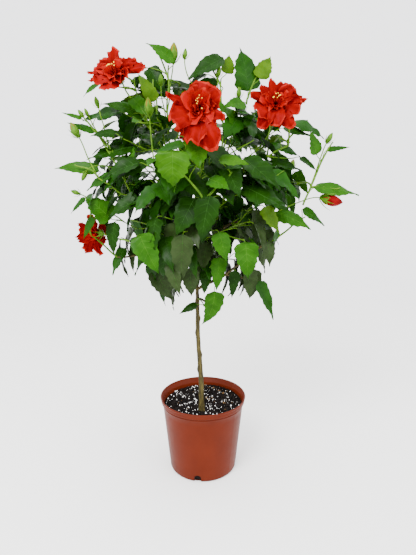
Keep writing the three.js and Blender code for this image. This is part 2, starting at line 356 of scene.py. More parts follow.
LEAF_TINTS = {
    "light": ("#224800", "#2e5606"),
    "young": ("#2f4c00", "#3d5c04"),
    "bright": ("#1a4202", "#245006"),
    "mid": ("#103402", "#184006"),
    "dark": ("#0b2600", "#113002"),
    "olive": ("#1d2a10", "#28361a"),
}


# ---------------------------------------------------------------- pot

POT_HALF = BOXES["pot"][1]
POT_TOP = 2 * POT_HALF[2]
RIM = POT_HALF[0]
RIM_DEPTH = 15 * MM
NECK = 109 * MM
BASE = 90 * MM
WALL = 2 * MM
FOOT_ROUND = 5 * MM
DRAINS = 4
QUARTER = 360 / DRAINS
DRAIN_WIDTH = 18 * MM
DRAIN_HEIGHT = 20 * MM
FIRST_DRAIN = -99
COLUMN_STEP = 2.25
ARCH_COLUMNS = (-1.02, -1, -0.97, -0.9, -0.78, -0.6, -0.4, -0.2, 0)
LOW_ZONE = 34 * MM
LOW_STEPS = (0, 0.01, 0.03, 0.06, 0.1, 0.15, 0.3, 0.6, 1)
WALL_STATIONS = 12
PLATE_COLUMNS = 96
SEAM_ANGLE, SEAM_WIDTH, SEAM_RISE = 58, 1.2, 0.35 * MM

# Outlines in millimetres, as (outward, up). The groove is measured from the neck and the rim band's
# underside, the band and the inside of the rim from the rim's outer edge and top.
GROOVE = [(0.1, -6), (0.9, -5), (0.9, -3.6), (-0.3, -2.8), (-0.5, -1), (0, 0)]
BAND = [(-3.4, -14.8), (-2.4, -14.2), (-2, -13), (-1.6, -6), (-1.4, -4.2), (-0.4, -3.6), (0, -2.6),
        (0, -1), (-0.6, -0.2), (-1.6, 0), (-3, -0.6), (-4, -3), (-4.3, -5), (-5.6, -5.8), (-5.8, -11),
        (-7.2, -12)]
FLOOR_PLATE = [(0, 3), (30, 3), (31, 4), (60, 4), (61, 3), (80, 3), (84.5, 3), (84.5, 1), (84, 0.4),
               (60, 0.4), (59, 1), (31, 1), (30, 0.4), (0, 0.4)]


def pot_wall(z):
    """Radius of the outer wall at a height: a straight taper, rounded in at the foot."""
    taper = BASE + (NECK - BASE) * z / (POT_TOP - RIM_DEPTH)
    short = np.clip(FOOT_ROUND - z, 0, FOOT_ROUND)
    return taper - FOOT_ROUND + np.sqrt(FOOT_ROUND ** 2 - short ** 2)


def turned_round(r, z, angles):
    """Points carried round Z at these angles: out by r, up by z."""
    return np.stack(np.broadcast_arrays(r * np.cos(angles), r * np.sin(angles), z), -1)


def pot_angles():
    """Columns round the pot, and a drain's half width, in degrees: evenly spaced columns, and close
    ones that trace each drain's arch."""
    edge = math.degrees(DRAIN_WIDTH / 2 / BASE)
    arch = edge * np.array(ARCH_COLUMNS)
    near = np.concatenate([arch, -arch[:-1]])
    even = np.arange(0, QUARTER, COLUMN_STEP)
    quarter = np.concatenate([near, even[(even > edge + 1) & (even < QUARTER - 1 - edge)]])
    return np.sort(np.concatenate([quarter + QUARTER * k for k in range(DRAINS)])) + FIRST_DRAIN, edge


def pot_shape():
    """The wall turned round Z: out at the foot, up to the groove and the rim band, over the lip and
    down inside. Near each drain the wall's lower edge lifts over an arch: straight sides with a half
    circle on top. Two mould seams stand a little proud."""
    angles, edge = pot_angles()
    x = ((angles - FIRST_DRAIN + QUARTER / 2) % QUARTER - QUARTER / 2) / edge
    top_round = DRAIN_WIDTH / 2
    lift = DRAIN_HEIGHT - top_round + top_round * np.sqrt(np.clip(1 - x * x, 0, 1))
    lift = np.where(np.abs(x) <= 1.0001, lift, 0)
    low_z = lift + (LOW_ZONE - lift) * np.array(LOW_STEPS)[:, None]
    low_out = np.stack([pot_wall(low_z), low_z], -1)
    low_in = np.stack([pot_wall(low_z) - WALL, np.maximum(low_z, 0)], -1)[::-1]
    under = POT_TOP - RIM_DEPTH
    steps = np.linspace(LOW_ZONE, under - 7 * MM, WALL_STATIONS)[1:]
    wall = np.stack([pot_wall(steps), steps], -1)
    groove = np.array(GROOVE) * MM + (NECK, under)
    band = np.array(BAND) * MM + (RIM, POT_TOP)
    inside = [(NECK - WALL, under - 2 * MM)]
    turned = np.concatenate([wall, groove, band, inside, wall[::-1] - (WALL, 0)])
    turned = np.repeat(turned[:, None], len(angles), 1)
    profile = np.concatenate([low_out, turned, low_in, low_out[:1]])
    seam = np.exp(-(((angles - FIRST_DRAIN) % 180 - SEAM_ANGLE) / SEAM_WIDTH) ** 2) * SEAM_RISE
    shell = turned_round(profile[..., 0] + seam, profile[..., 1], np.radians(angles))
    plate_r, plate_z = np.array(FLOOR_PLATE)[::-1].T[..., None] * MM
    around = np.linspace(0, 2 * np.pi, PLATE_COLUMNS, endpoint=False)
    plate = turned_round(np.maximum(plate_r, 0.05 * MM), plate_z, around)
    return joined([sheets(shell[None], round_cols=True), sheets(plate[None], round_cols=True)])


# ---------------------------------------------------------------- soil

SOIL_MIDDLE, SOIL_HALF = BOXES["soil"]
SOIL_TOP = SOIL_MIDDLE[2] + SOIL_HALF[2] - 4 * MM
SOIL_RADIUS = SOIL_HALF[0]
SOIL_FOOT = 6 * MM
SOIL_BANK = 3.5 * MM
STEM_MOUND, MOUND_REACH = 3 * MM, 16 * MM
STEM_CLEAR = 11 * MM
AXIS_GAP = 0.3 * MM
GRAIN_SINK = 0.25
GRAIN_ROUGHNESS = 0.25
SOIL_COLUMNS, SOIL_RINGS, SOIL_SIDE_RINGS = 220, 80, 10
trunk_line, trunk_radius = axis_of("trunk", 17)
STEM_FOOT = trunk_line[0]

# Clods: rise and wavelength in mm, seed, waves.
CLODS = ((1.6, 34, 5, 7), (1.3, 13, 6, 11), (0.8, 5, 7, 11))


def soil_height(x, y):
    """Height of the soil: level, a little banked towards the back right and the stem, and broken into
    clods of three sizes."""
    flat = np.stack([x, y, 0 * x], -1)
    bank = SOIL_BANK * (0.5 * x + 0.8 * y) / SOIL_RADIUS
    mound = STEM_MOUND * np.exp(-((x - STEM_FOOT[0]) ** 2 + (y - STEM_FOOT[1]) ** 2) / MOUND_REACH ** 2)
    clods = sum(rise * ripple(flat, wave * MM, seed, waves) for rise, wave, seed, waves in CLODS)
    return SOIL_TOP + bank + mound + clods * MM


def soil_shape():
    """A closed body turned round Z: the clodded top, down the pot's inside, and a flat underside."""
    a = np.linspace(0, 2 * np.pi, SOIL_COLUMNS, endpoint=False)
    top_r = np.linspace(SOIL_RADIUS - 0.2 * MM, AXIS_GAP, SOIL_RINGS)[:, None]
    top = turned_round(top_r, soil_height(top_r * np.cos(a), top_r * np.sin(a)), a)[::-1]
    side_z = np.linspace(SOIL_TOP - 14 * MM, SOIL_FOOT, SOIL_SIDE_RINGS)[:, None]
    side = turned_round(np.minimum(pot_wall(side_z) - WALL - 0.4 * MM, SOIL_RADIUS), side_z, a)
    base = turned_round(np.array([[60 * MM], [AXIS_GAP]]), SOIL_FOOT, a)
    return sheets(np.concatenate([top, side, base])[None][:, ::-1], round_cols=True, capped=True)


def icosahedron():
    """The twelve corners of the regular solid with twenty faces, and those faces, facing out."""
    g = (1 + math.sqrt(5)) / 2
    corners = np.array([(-1, g, 0), (1, g, 0), (-1, -g, 0), (1, -g, 0), (0, -1, g), (0, 1, g),
                        (0, -1, -g), (0, 1, -g), (g, 0, -1), (g, 0, 1), (-g, 0, -1), (-g, 0, 1)])
    faces = np.array([(0, 11, 5), (0, 5, 1), (0, 1, 7), (0, 7, 10), (0, 10, 11), (1, 5, 9), (5, 11, 4),
                      (11, 10, 2), (10, 7, 6), (7, 1, 8), (3, 9, 4), (3, 4, 2), (3, 2, 6), (3, 6, 8),
                      (3, 8, 9), (4, 9, 5), (2, 4, 11), (6, 2, 10), (8, 6, 7), (9, 8, 1)])
    return unit(corners), faces


def lumps(middles, sizes, stretch, pick):
    """Irregular grains: a twenty-faced solid whose corners are pulled in and out, stretched to each
    grain's three half sizes, then turned at random."""
    corners, faces = icosahedron()
    count = len(middles)
    shape = corners[None] * (1 + pick.uniform(-GRAIN_ROUGHNESS, GRAIN_ROUGHNESS, (count, len(corners), 1)))
    shape = shape * stretch[:, None] * sizes[:, None, None]
    turned, _ = np.linalg.qr(pick.normal(size=(count, 3, 3)))
    turned[:, :, 0] *= np.sign(np.linalg.det(turned))[:, None]
    points = np.einsum("nij,nkj->nki", turned, shape) + middles[:, None]
    all_faces = faces[None] + (np.arange(count) * len(corners))[:, None, None]
    return points.reshape(-1, 3), [all_faces.reshape(-1, 3)]


def scattered(count, low, high, flattest, pick):
    """Grains strewn over the soil, clear of the stem: even over its area, each sunk by a share of its
    size."""
    r = (SOIL_RADIUS - 3 * MM) * np.sqrt(pick.uniform(0, 1, count * 2))
    a = pick.uniform(0, 2 * np.pi, count * 2)
    x, y = r * np.cos(a), r * np.sin(a)
    clear = np.hypot(x - STEM_FOOT[0], y - STEM_FOOT[1]) > STEM_CLEAR
    x, y = x[clear][:count], y[clear][:count]
    sizes = (low + (high - low) * pick.uniform(0, 1, len(x)) ** 2) * MM
    middles = np.stack([x, y, soil_height(x, y) + sizes * GRAIN_SINK], -1)
    return lumps(middles, sizes, pick.uniform(flattest, 1, (len(x), 3)), pick)


# ---------------------------------------------------------------- trunk and boughs

NODE_GAP = 38 * MM
KNOT_REACH = 7 * MM
RELIEF_TURN = 9 * MM
RELIEF_RISE = 0.14
LIMB_SWAY, SWAY_LENGTH = 1.2 * MM, 70 * MM
SCAR_RISE, SCAR_WIDTH = 0.07, 0.05


def bark_tube(path, radius, stations, sides, seed, knots=()):
    """A limb with its bark's relief: the frame's centre line and radii, with low ridges that run along
    the stem, leaf-scar rings at each node, and a swelling at each knot (height share, angle, rise)."""
    path, radius = resampled(path, radius, stations)
    t = np.linspace(0, 1, stations)[:, None]
    length = np.linalg.norm(np.diff(path, axis=0), axis=1).sum()
    path = path + wander(path, 9, SWAY_LENGTH, seed) * LIMB_SWAY * np.sin(np.pi * t) ** 0.5
    a = np.linspace(0, 2 * np.pi, sides, endpoint=False)[None]
    drawn = turned_round(RELIEF_TURN, RELIEF_RISE * length * t, a)
    ridges = 0.10 * ripple(drawn, 6 * MM, seed + 1, 11) + 0.05 * ripple(drawn, 2.6 * MM, seed + 2, 11)
    beat = (t * length / NODE_GAP + 0.3 * ripple(drawn, 50 * MM, seed + 3)) % 1 - 0.5
    swell = 1 + ridges + SCAR_RISE * np.exp(-(beat / SCAR_WIDTH) ** 2)
    for height, angle, rise in knots:
        turn = (a - math.radians(angle) + np.pi) % (2 * np.pi) - np.pi
        swell = swell + rise * np.exp(-((t - height) * length / KNOT_REACH) ** 2 - (turn / 0.6) ** 2)
    return sheets(tubes(path, radius[:, None] * swell, sides)[None], round_cols=True, capped=True)


# ---------------------------------------------------------------- stems that grow on

STEM_STATIONS = {"woody": 18, "shoot": 18, "twig": 9, "flower_stalk": 14}

# What a joint costs for each metre that it lies above its target or further out, and how much its
# stem's bend costs, against one for each metre that it misses the reach by.
ABOVE_COST, OUT_COST, BEND_COST = 0.7, 0.6, 0.45


class Stems:
    """Every grown stem: the points that new growth can join, and the paths of each kind."""

    def __init__(self):
        self.points = np.empty((0, 3))
        self.ways = np.empty((0, 3))
        self.kinds = {}

    def add(self, path, radii=None, kind=None):
        """Lets growth join a path, and keeps the path to be built if it has a kind."""
        self.points = np.concatenate([self.points, path])
        self.ways = np.concatenate([self.ways, unit(np.gradient(path, axis=0))])
        if kind:
            self.kinds.setdefault(kind, []).append((path, radii))

    def joint_for(self, target, reach, arrive):
        """The point to grow from: its distance is near the reach, it lies lower than the target and
        nearer to the plant's middle line, and the way from it bends little to arrive as asked."""
        gap = target - self.points
        far = np.abs(np.linalg.norm(gap, axis=1) - reach)
        above = np.maximum(-gap[:, 2], 0)
        out = np.hypot(self.points[:, 0], self.points[:, 1]) - math.hypot(target[0], target[1])
        turn = reach * (1 - unit(gap) @ unit(arrive))
        best = np.argmin(far + ABOVE_COST * above + OUT_COST * np.maximum(out, 0) + BEND_COST * turn)
        return self.points[best], self.ways[best]

    def grow(self, end, arrive, reach, radii, kind):
        """A stem from its best joint to end, with radii in mm at its foot and tip: it leaves at a slant
        between the parent's way and the target, and comes in along arrive."""
        stations = STEM_STATIONS[kind]
        start, way = self.joint_for(end, reach, arrive)
        span = np.linalg.norm(end - start)
        leave = unit(0.8 * way + 1.5 * unit(end - start) + 0.25 * UP) * span * 0.33
        path = bezier(start, leave, unit(arrive) * span * 0.25, end, stations)
        sway = wander(path, 7, 60 * MM, len(self.points)) * span * 0.02
        path = path + sway * np.sin(np.pi * np.linspace(0, 1, stations))[:, None]
        self.add(path, np.linspace(*radii, stations) * MM, kind)


def outward(point):
    """The level direction from the plant's middle line to a point."""
    return unit(point * np.array([1, 1, 0]) + np.array([1e-6, 0, 0]))


# ---------------------------------------------------------------- leaves

LEAF_ROWS = 14
LEAF_COLS = 5
LEAF_MIDDLE = LEAF_COLS // 2
OUTLINE_PEAK = 0.384
TOOTH_DEPTH = 0.88
VEIN_PAIRS = 5
VEIN_LIFT = 0.25 * MM
QUILT = (0.018, 0.06, 0, 0.06, 0.018)
RIB_RADIUS, LEAST_RIB = 0.011, 0.2 * MM
VEIN_HALF_WIDTHS = (0.0065, 0.004, 0.002)


def leaf_blades(base, way, face, length, width, fold, droop, hook, pick):
    """Blades as (count, rows, cols, 3) grids. Along u the middle line bends down through the droop
    angle; half the width goes as u^0.42 (1 - u)^1.35, with every other edge point drawn out as a
    tooth. Near the foot the edge sweeps back into two lobes, and further on it sweeps forward. Points
    between the side veins are raised, the halves fold up along the midrib, the tip hooks to one side,
    and the edge waves."""
    row = np.arange(LEAF_ROWS)[None, :, None]
    u = row / (LEAF_ROWS - 1)
    v = np.linspace(-1, 1, LEAF_COLS)[None, None, :]
    aside = np.abs(v)
    length, width, fold, droop, hook = (x[:, None, None] for x in (length, width, fold, droop, hook))
    tooth = np.where(row % 2 == 0, 1.0, TOOTH_DEPTH) ** aside ** 3
    outline = u ** 0.42 * (1 - u) ** 1.35 / OUTLINE_PEAK * tooth
    half = width / 2 * np.maximum(outline, 0.012)
    sweep = 0.30 * width / length * aside ** 1.3 * outline * (1.6 * u ** 0.5 - 0.62)
    turn = droop * (u + sweep)
    x = np.sin(turn) / droop * length
    drop = (np.cos(turn) - 1) / droop * length
    some = (len(base), 1, 1)
    wave = pick.uniform(0.02, 0.07, some) * width * aside ** 1.5
    wave = wave * np.sin(2 * np.pi * (pick.uniform(1.2, 2.6, some) * u + pick.uniform(0, 1, some))
                         + 1.3 * np.sign(v))
    off_vein = (row - np.rint(2 * aside)) % 2 == 1
    quilt = width * off_vein * np.array(QUILT)
    y = half * v * np.cos(fold * aside) + hook * length * u ** 2
    z = drop + half * aside * np.sin(fold) + wave + quilt
    side = np.cross(way, face)
    return (base[:, None, None] + x[..., None] * way[:, None, None]
            + y[..., None] * side[:, None, None] + z[..., None] * face[:, None, None])


def leaf_sheets(blades):
    """Blades as quads. On the first half each quad's corners start one later, so that the crease
    across every quad runs forward and out from the midrib on both halves, as the veins do."""
    points, (quads,) = sheets(blades)
    first_half = np.arange(len(quads)) % (LEAF_COLS - 1) < LEAF_MIDDLE
    quads[first_half] = np.roll(quads[first_half], -1, axis=1)
    return points, [quads]


def leaf_veins(blades, face, width):
    """Veins that ride just proud of the blades: a midrib of three sides that tapers to the tip, and
    pairs of side strips that slant forward from the midrib to the teeth."""
    rib = blades[:, :, LEAF_MIDDLE]
    taper = np.linspace(1, 0.3, LEAF_ROWS) * RIB_RADIUS * width[:, None]
    shapes = [sheets(tubes(rib, np.maximum(taper, LEAST_RIB), 3), round_cols=True, capped=True)]
    wide = np.array(VEIN_HALF_WIDTHS)[:, None] * width[:, None, None]
    for row in range(0, 2 * VEIN_PAIRS, 2):
        along = unit(rib[:, row + 2] - rib[:, row])[:, None]
        for side in (-1, 1):
            line = np.stack([blades[:, row + k, LEAF_MIDDLE + side * k] for k in range(3)], 1)
            line = line + face[:, None] * VEIN_LIFT
            shapes.append(sheets(np.stack([line - side * along * wide, line + side * along * wide], 2)))
    return joined(shapes)


# Leaves that lead the crown's outline and its face: mass, tint, place as shares of the mass's half
# sizes, azimuth and elevation of the blade in degrees, length in mm, and width as a share of length.
LEADING = [
    ("top_left", "bright", (-0.1, -0.5, 0.4), -165, 45, 72, 0.50),
    ("top_middle", "dark", (0.0, -0.2, 0.0), -170, -25, 88, 0.60),
    ("top_middle", "young", (0.9, -0.1, 0.1), -30, 75, 38, 0.85),
    ("top_right", "mid", (-0.3, -0.3, 0.2), -120, 80, 90, 0.72),
    ("top_right", "young", (0.6, 0.0, 0.4), 30, 65, 64, 0.62),
    ("upper_right", "mid", (0.3, -0.7, -0.4), -20, -12, 80, 0.50),
    ("upper_right", "dark", (-0.3, -0.8, -1.0), -10, -15, 70, 0.40),
    ("right_shoulder", "mid", (0.2, -0.1, 0.0), -10, -8, 78, 0.50),
    ("right_shoot", "bright", (-0.8, -0.2, 0.0), -150, 70, 52, 0.75),
    ("right_shoot", "mid", (0.6, -0.2, -0.3), -10, 8, 50, 0.35),
    ("right_shoot", "dark", (-1.1, -0.2, -1.2), -30, -35, 50, 0.45),
    ("right_shoulder", "dark", (0.1, -0.5, -1.2), -20, -12, 75, 0.50),
    ("right_tip", "bright", (0.2, -0.2, 0.1), -8, 2, 105, 0.38),
    ("right_heart", "mid", (0.7, -0.3, 0.0), -25, -30, 90, 0.50),
    ("right_heart", "dark", (-0.2, -1.1, 0.3), -50, -30, 110, 0.55),
    ("right_heart", "dark", (-0.1, -1.3, -0.5), -40, -20, 110, 0.55),
    ("right_leaf", "bright", (-0.3, -0.6, 0.1), -30, -10, 85, 0.60),
    ("right_leaf", "mid", (0.7, -0.1, 0.1), -10, -30, 62, 0.50),
    ("lower_right", "young", (0.2, -0.6, 1.0), -30, -55, 62, 0.60),
    ("lower_right", "bright", (-0.8, -1.0, -0.6), -70, -72, 78, 0.70),
    ("lower_right", "olive", (0.2, -0.4, -0.4), -60, -70, 55, 0.60),
    ("lower_middle", "bright", (0.5, -1.6, 0.7), -50, -65, 62, 0.66),
    ("middle", "dark", (0.3, -0.7, -0.3), -130, -70, 95, 0.55),
    ("middle_left", "dark", (1.1, -1.1, -0.3), -140, -55, 82, 0.70),
    ("skirt_middle", "olive", (0.2, -0.7, 0.0), -115, -82, 108, 0.44),
    ("front_left", "bright", (0.1, -0.7, -0.2), -40, -60, 88, 0.62),
    ("skirt_left", "olive", (0.0, -0.3, -0.1), -30, -60, 82, 0.60),
    ("skirt_middle", "olive", (0.6, 0.2, -0.9), -90, -80, 65, 0.60),
    ("skirt_right", "dark", (-0.5, -0.3, -0.3), -140, -80, 70, 0.40),
    ("skirt_right", "olive", (0.4, -0.3, -0.2), -80, -80, 72, 0.55),
    ("low_right_leaf", "mid", (-0.1, -0.4, -0.1), -15, -62, 98, 0.38),
    ("low_curled_leaf", "bright", (0.25, -0.6, 0.05), -75, -82, 84, 0.58),
    ("lower_left", "mid", (-0.4, 0.0, -0.2), -160, -52, 72, 0.50),
    ("lower_left", "olive", (0.4, 0.2, -0.1), -150, -70, 65, 0.35),
    ("left_leaf", "bright", (0.3, -0.4, -0.2), -152, 48, 68, 0.85),
    ("bloom_lower_left", "mid", (-0.3, -0.9, 0.5), -150, -62, 52, 0.42),
    ("bloom_lower_left", "dark", (0.8, -1.0, 0.0), -130, -70, 74, 0.50),
    ("left_leaf", "mid", (-0.8, 0.0, 0.0), -170, -42, 46, 0.40),
    ("left_tip", "bright", (-0.3, 0.0, 0.0), -175, 13, 108, 0.34),
    ("left_side", "mid", (-0.6, -0.3, -0.2), -165, -30, 60, 0.50),
    ("left_shoulder", "dark", (0.0, -0.4, -0.3), -165, -10, 115, 0.50),
    ("left_side", "dark", (0.1, -0.5, 0.4), -155, -20, 80, 0.55),
    ("left_upper", "bright", (0.5, -0.9, 0.4), -150, 25, 95, 0.50),
    ("left_upper", "mid", (-0.5, -0.4, 0.1), -20, 15, 70, 0.50),
    ("left_shoulder", "dark", (0.0, -0.1, 0.7), -20, 18, 58, 0.50),
    ("left_buds", "bright", (-0.7, 0.0, 0.0), -175, 18, 44, 0.35),
    ("left_buds", "mid", (-0.3, 0.0, -0.6), -175, 20, 62, 0.35),
    ("upper_left", "dark", (0.4, -0.2, 0.4), -30, -50, 70, 0.60),
    ("upper_left", "young", (0.1, -1.0, -0.2), -140, 60, 66, 0.50),
    ("inner_upper_left", "bright", (-0.5, -0.9, 0.8), -40, -40, 68, 0.50),
    ("upper_middle", "dark", (-0.2, -0.6, 0.0), -15, 0, 105, 0.40),
    ("bloom_upper_left", "bright", (-1.0, 0.4, -0.6), -170, -25, 45, 0.45),
    ("front_middle", "light", (-0.1, -0.9, -0.1), -98, -76, 64, 1.04),
    ("front_middle", "light", (0.6, 0.0, 0.7), -65, -50, 62, 0.85),
    ("front_right", "light", (0.2, -0.6, 0.6), -20, -4, 60, 0.50),
    ("front_right", "bright", (-0.5, -0.6, -0.4), -40, -15, 52, 0.70),
    ("middle_left", "mid", (0.4, -0.8, 0.6), -60, -45, 60, 0.70),
    ("middle", "dark", (-0.1, -0.3, 0.8), -40, -35, 75, 0.65),
    ("inner_upper_right", "bright", (-0.3, -0.6, 0.8), -140, -10, 58, 0.60),
    ("inner_upper_right", "mid", (-0.4, -0.6, 0.0), -120, -35, 68, 0.70),
    ("front_right", "dark", (0.2, -0.3, -0.3), -50, -55, 72, 0.65),
    ("skirt_left", "dark", (1.3, -0.1, -1.4), -175, -18, 46, 0.45),
    ("left_upper", "mid", (-0.75, -0.9, -0.05), -178, -8, 80, 0.50),
    ("left_shoulder", "dark", (-0.3, -0.6, 0.6), -170, 5, 54, 0.55),
    ("left_side", "dark", (-0.2, -0.7, 0.35), -170, -14, 84, 0.55),
    ("left_side", "mid", (-1.1, -0.2, -0.2), -160, -28, 60, 0.55),
    ("middle_left", "dark", (-0.95, -0.3, 0.05), -165, -18, 76, 0.60),
    ("middle_left", "mid", (-0.2, -0.7, 0.35), -140, -30, 66, 0.60),
    ("inner_upper_right", "bright", (-0.5, -0.4, 0.5), -150, 40, 76, 0.60),
]

# Masses that hold only their leading leaves, buds and blooms.
SPARSE = ("top_left", "top_middle", "top_right", "left_tip", "right_tip", "right_shoot", "left_buds",
          "upper_right", "low_right_leaf", "low_curled_leaf", "right_leaf",
          "bloom_upper_left", "bloom_upper_right", "bloom_middle", "bloom_lower_left")
LITRES_PER_LEAF = 0.066
LEAF_STRETCH = 1.12
CROWN_LOW, CROWN_HIGH = 0.45, 1.06
CROWN_REACH = 0.28
PLACES_TRIED = 12
# Lowest tint score for each tint. The score stands partly for paler young growth high up and at the tips,
# and partly for painted light on the crown's outside and painted shade within.
LOWEST_YOUTH_AND_LIGHT = {"young": 1.05, "bright": 0.78, "mid": 0.50, "dark": -9.0}
OLIVE_BELOW = 0.36

# A filling leaf's elevation at the foot of the crown, what it gains up to the top, and its limits, in
# degrees; how far its azimuth, elevation and tint score stray; its length in mm, what the brighter
# tints keep of that, and its width as a share of it.
FOOT_ELEVATION, ELEVATION_GAIN, ELEVATION_LIMITS = -95, 122, (-85, 45)
AZIMUTH_STRAY, ELEVATION_STRAY, YOUTH_AND_LIGHT_STRAY = 42, 17, 0.17
FILLING_LENGTH, BRIGHT_LENGTH, FILLING_WIDTH = (56, 92), 0.8, (0.45, 0.68)


def crown_level(z):
    """How far up the crown a height lies, from 0 to about 1."""
    return (z - CROWN_LOW) / (CROWN_HIGH - CROWN_LOW)


def filling_leaves(taken):
    """The rest of each full mass's leaves. A mass gets one for each share of its volume; of a handful
    of seeded places the one farthest from the leaves so far is taken. Blades point away from the
    plant's middle line, level near the top and hanging near the foot of the crown, and their tints
    are brighter the higher and the further out they grow. This is partly the paler young growth there,
    and partly painted light on the crown's outside with painted shade within."""
    rows = []
    for node in MASSES:
        if node in SPARSE:
            continue
        middle, half = BOXES[node]
        litres = 4 / 3 * math.pi * half.prod() * 1000
        count = int(round(litres / LITRES_PER_LEAF * (1.45 - 0.6 * crown_level(middle[2]))))
        for _ in range(max(2, count)):
            ways = unit(rng.normal(size=(PLACES_TRIED, 3)))
            spots = middle + half * ways * rng.uniform(0.25, 0.88, (PLACES_TRIED, 1))
            gaps = np.linalg.norm(spots[:, None] - np.array(taken)[None], axis=-1).min(1)
            spot = spots[np.argmax(gaps)]
            taken.append(spot)
            height = crown_level(spot[2])
            azimuth = math.degrees(math.atan2(spot[1], spot[0])) + rng.normal(0, AZIMUTH_STRAY)
            elevation = FOOT_ELEVATION + ELEVATION_GAIN * height + rng.normal(0, ELEVATION_STRAY)
            elevation = np.clip(elevation, *ELEVATION_LIMITS)
            # The tint score rises with height and with reach from the middle line. It is partly young
            # growth, and partly painted light outside and painted shade inside the crown.
            youth_and_light = 0.72 * height + 0.42 * math.hypot(*spot[:2]) / CROWN_REACH + rng.normal(0, YOUTH_AND_LIGHT_STRAY)
            tint = next(name for name, lowest in LOWEST_YOUTH_AND_LIGHT.items() if youth_and_light > lowest)
            if tint in ("dark", "mid") and height < OLIVE_BELOW and rng.uniform() < 0.5:
                tint = "olive"
            length = rng.uniform(*FILLING_LENGTH) * (BRIGHT_LENGTH if tint in ("young", "bright") else 1)
            rows.append((node, tint, spot, azimuth, elevation, length, rng.uniform(*FILLING_WIDTH)))
    return rows


# ---------------------------------------------------------------- blooms and buds

def petals(turn, traits, grid, pick):
    """Petals in a bloom's own frame, with Z out along its stalk, as (count, rows, cols, 3) grids. Each
    middle line leans from its first angle off the axis to its second; half the width swells as a
    quarter sine wave from a narrow claw; the end is rounded by drawing it back with |v|^2.4, more so
    where it is pointed; the sides cup up, and a frill of three waves grows towards the edge."""
    count = len(turn)
    u = np.linspace(0, 1, grid[0])[None, :, None]
    v = np.linspace(-1, 1, grid[1])[None, None, :]
    turn, lean0, lean1, length, width, cup, frill, pointed = (x[:, None, None] for x in (turn, *traits))
    swell = np.sin(np.pi / 2 * np.minimum(1, u * 1.12)) ** 1.1
    half = width / 2 * (0.12 + 0.88 * swell) * (1 - pointed * u ** 1.6)
    back = (0.30 + 0.25 * pointed) * np.abs(v) ** 2.4
    nick = 0.035 * np.sin(6.5 * v + pick.uniform(0, 6.3, (count, 1, 1)))
    s = u * (1 - back + nick * np.abs(v))
    angle = lean0 + (lean1 - lean0) * s
    bend = np.where(np.abs(lean1 - lean0) < 0.05, 0.05, lean1 - lean0)
    out = length * (np.cos(lean0) - np.cos(lean0 + bend * s)) / bend
    rise = length * (np.sin(lean0 + bend * s) - np.sin(lean0)) / bend
    phase = pick.uniform(0, 2 * np.pi, (4, count, 1, 1))
    edge = np.maximum(np.abs(v) ** 1.5, u ** 5) * u
    waves = (np.sin(2.2 * np.pi * v + phase[0] + 2.4 * u) * 0.6
             + np.sin(5.2 * np.pi * v * (0.4 + 0.6 * u) + phase[1] + 5 * u) * 0.5
             + np.sin(9.0 * u * (0.4 + 0.6 * np.abs(v)) + phase[2] + 2 * np.sign(v)) * 0.45)
    proud = frill * length * edge * waves + cup * half * v * v
    proud = proud + 0.02 * length * np.sin(9 * v + phase[3]) * u
    radial = out - proud * np.cos(angle)
    axial = rise + proud * np.sin(angle)
    across = half * v * (1 - 0.12 * cup * v * v)
    twist = turn + 0.10 * v * u
    return np.stack([radial * np.cos(twist) - across * np.sin(turn),
                     radial * np.sin(twist) + across * np.cos(turn), axial + 0.05 * length * v * u], -1)


def placed(local, origin, way, up, size):
    """Points of a bloom's or a bud's own frame carried to an origin: X across, Y up and Z along its
    way, each stretched by its size."""
    up = square_to(up, way)
    return origin + (local * size) @ np.stack([np.cross(up, way), up, way])


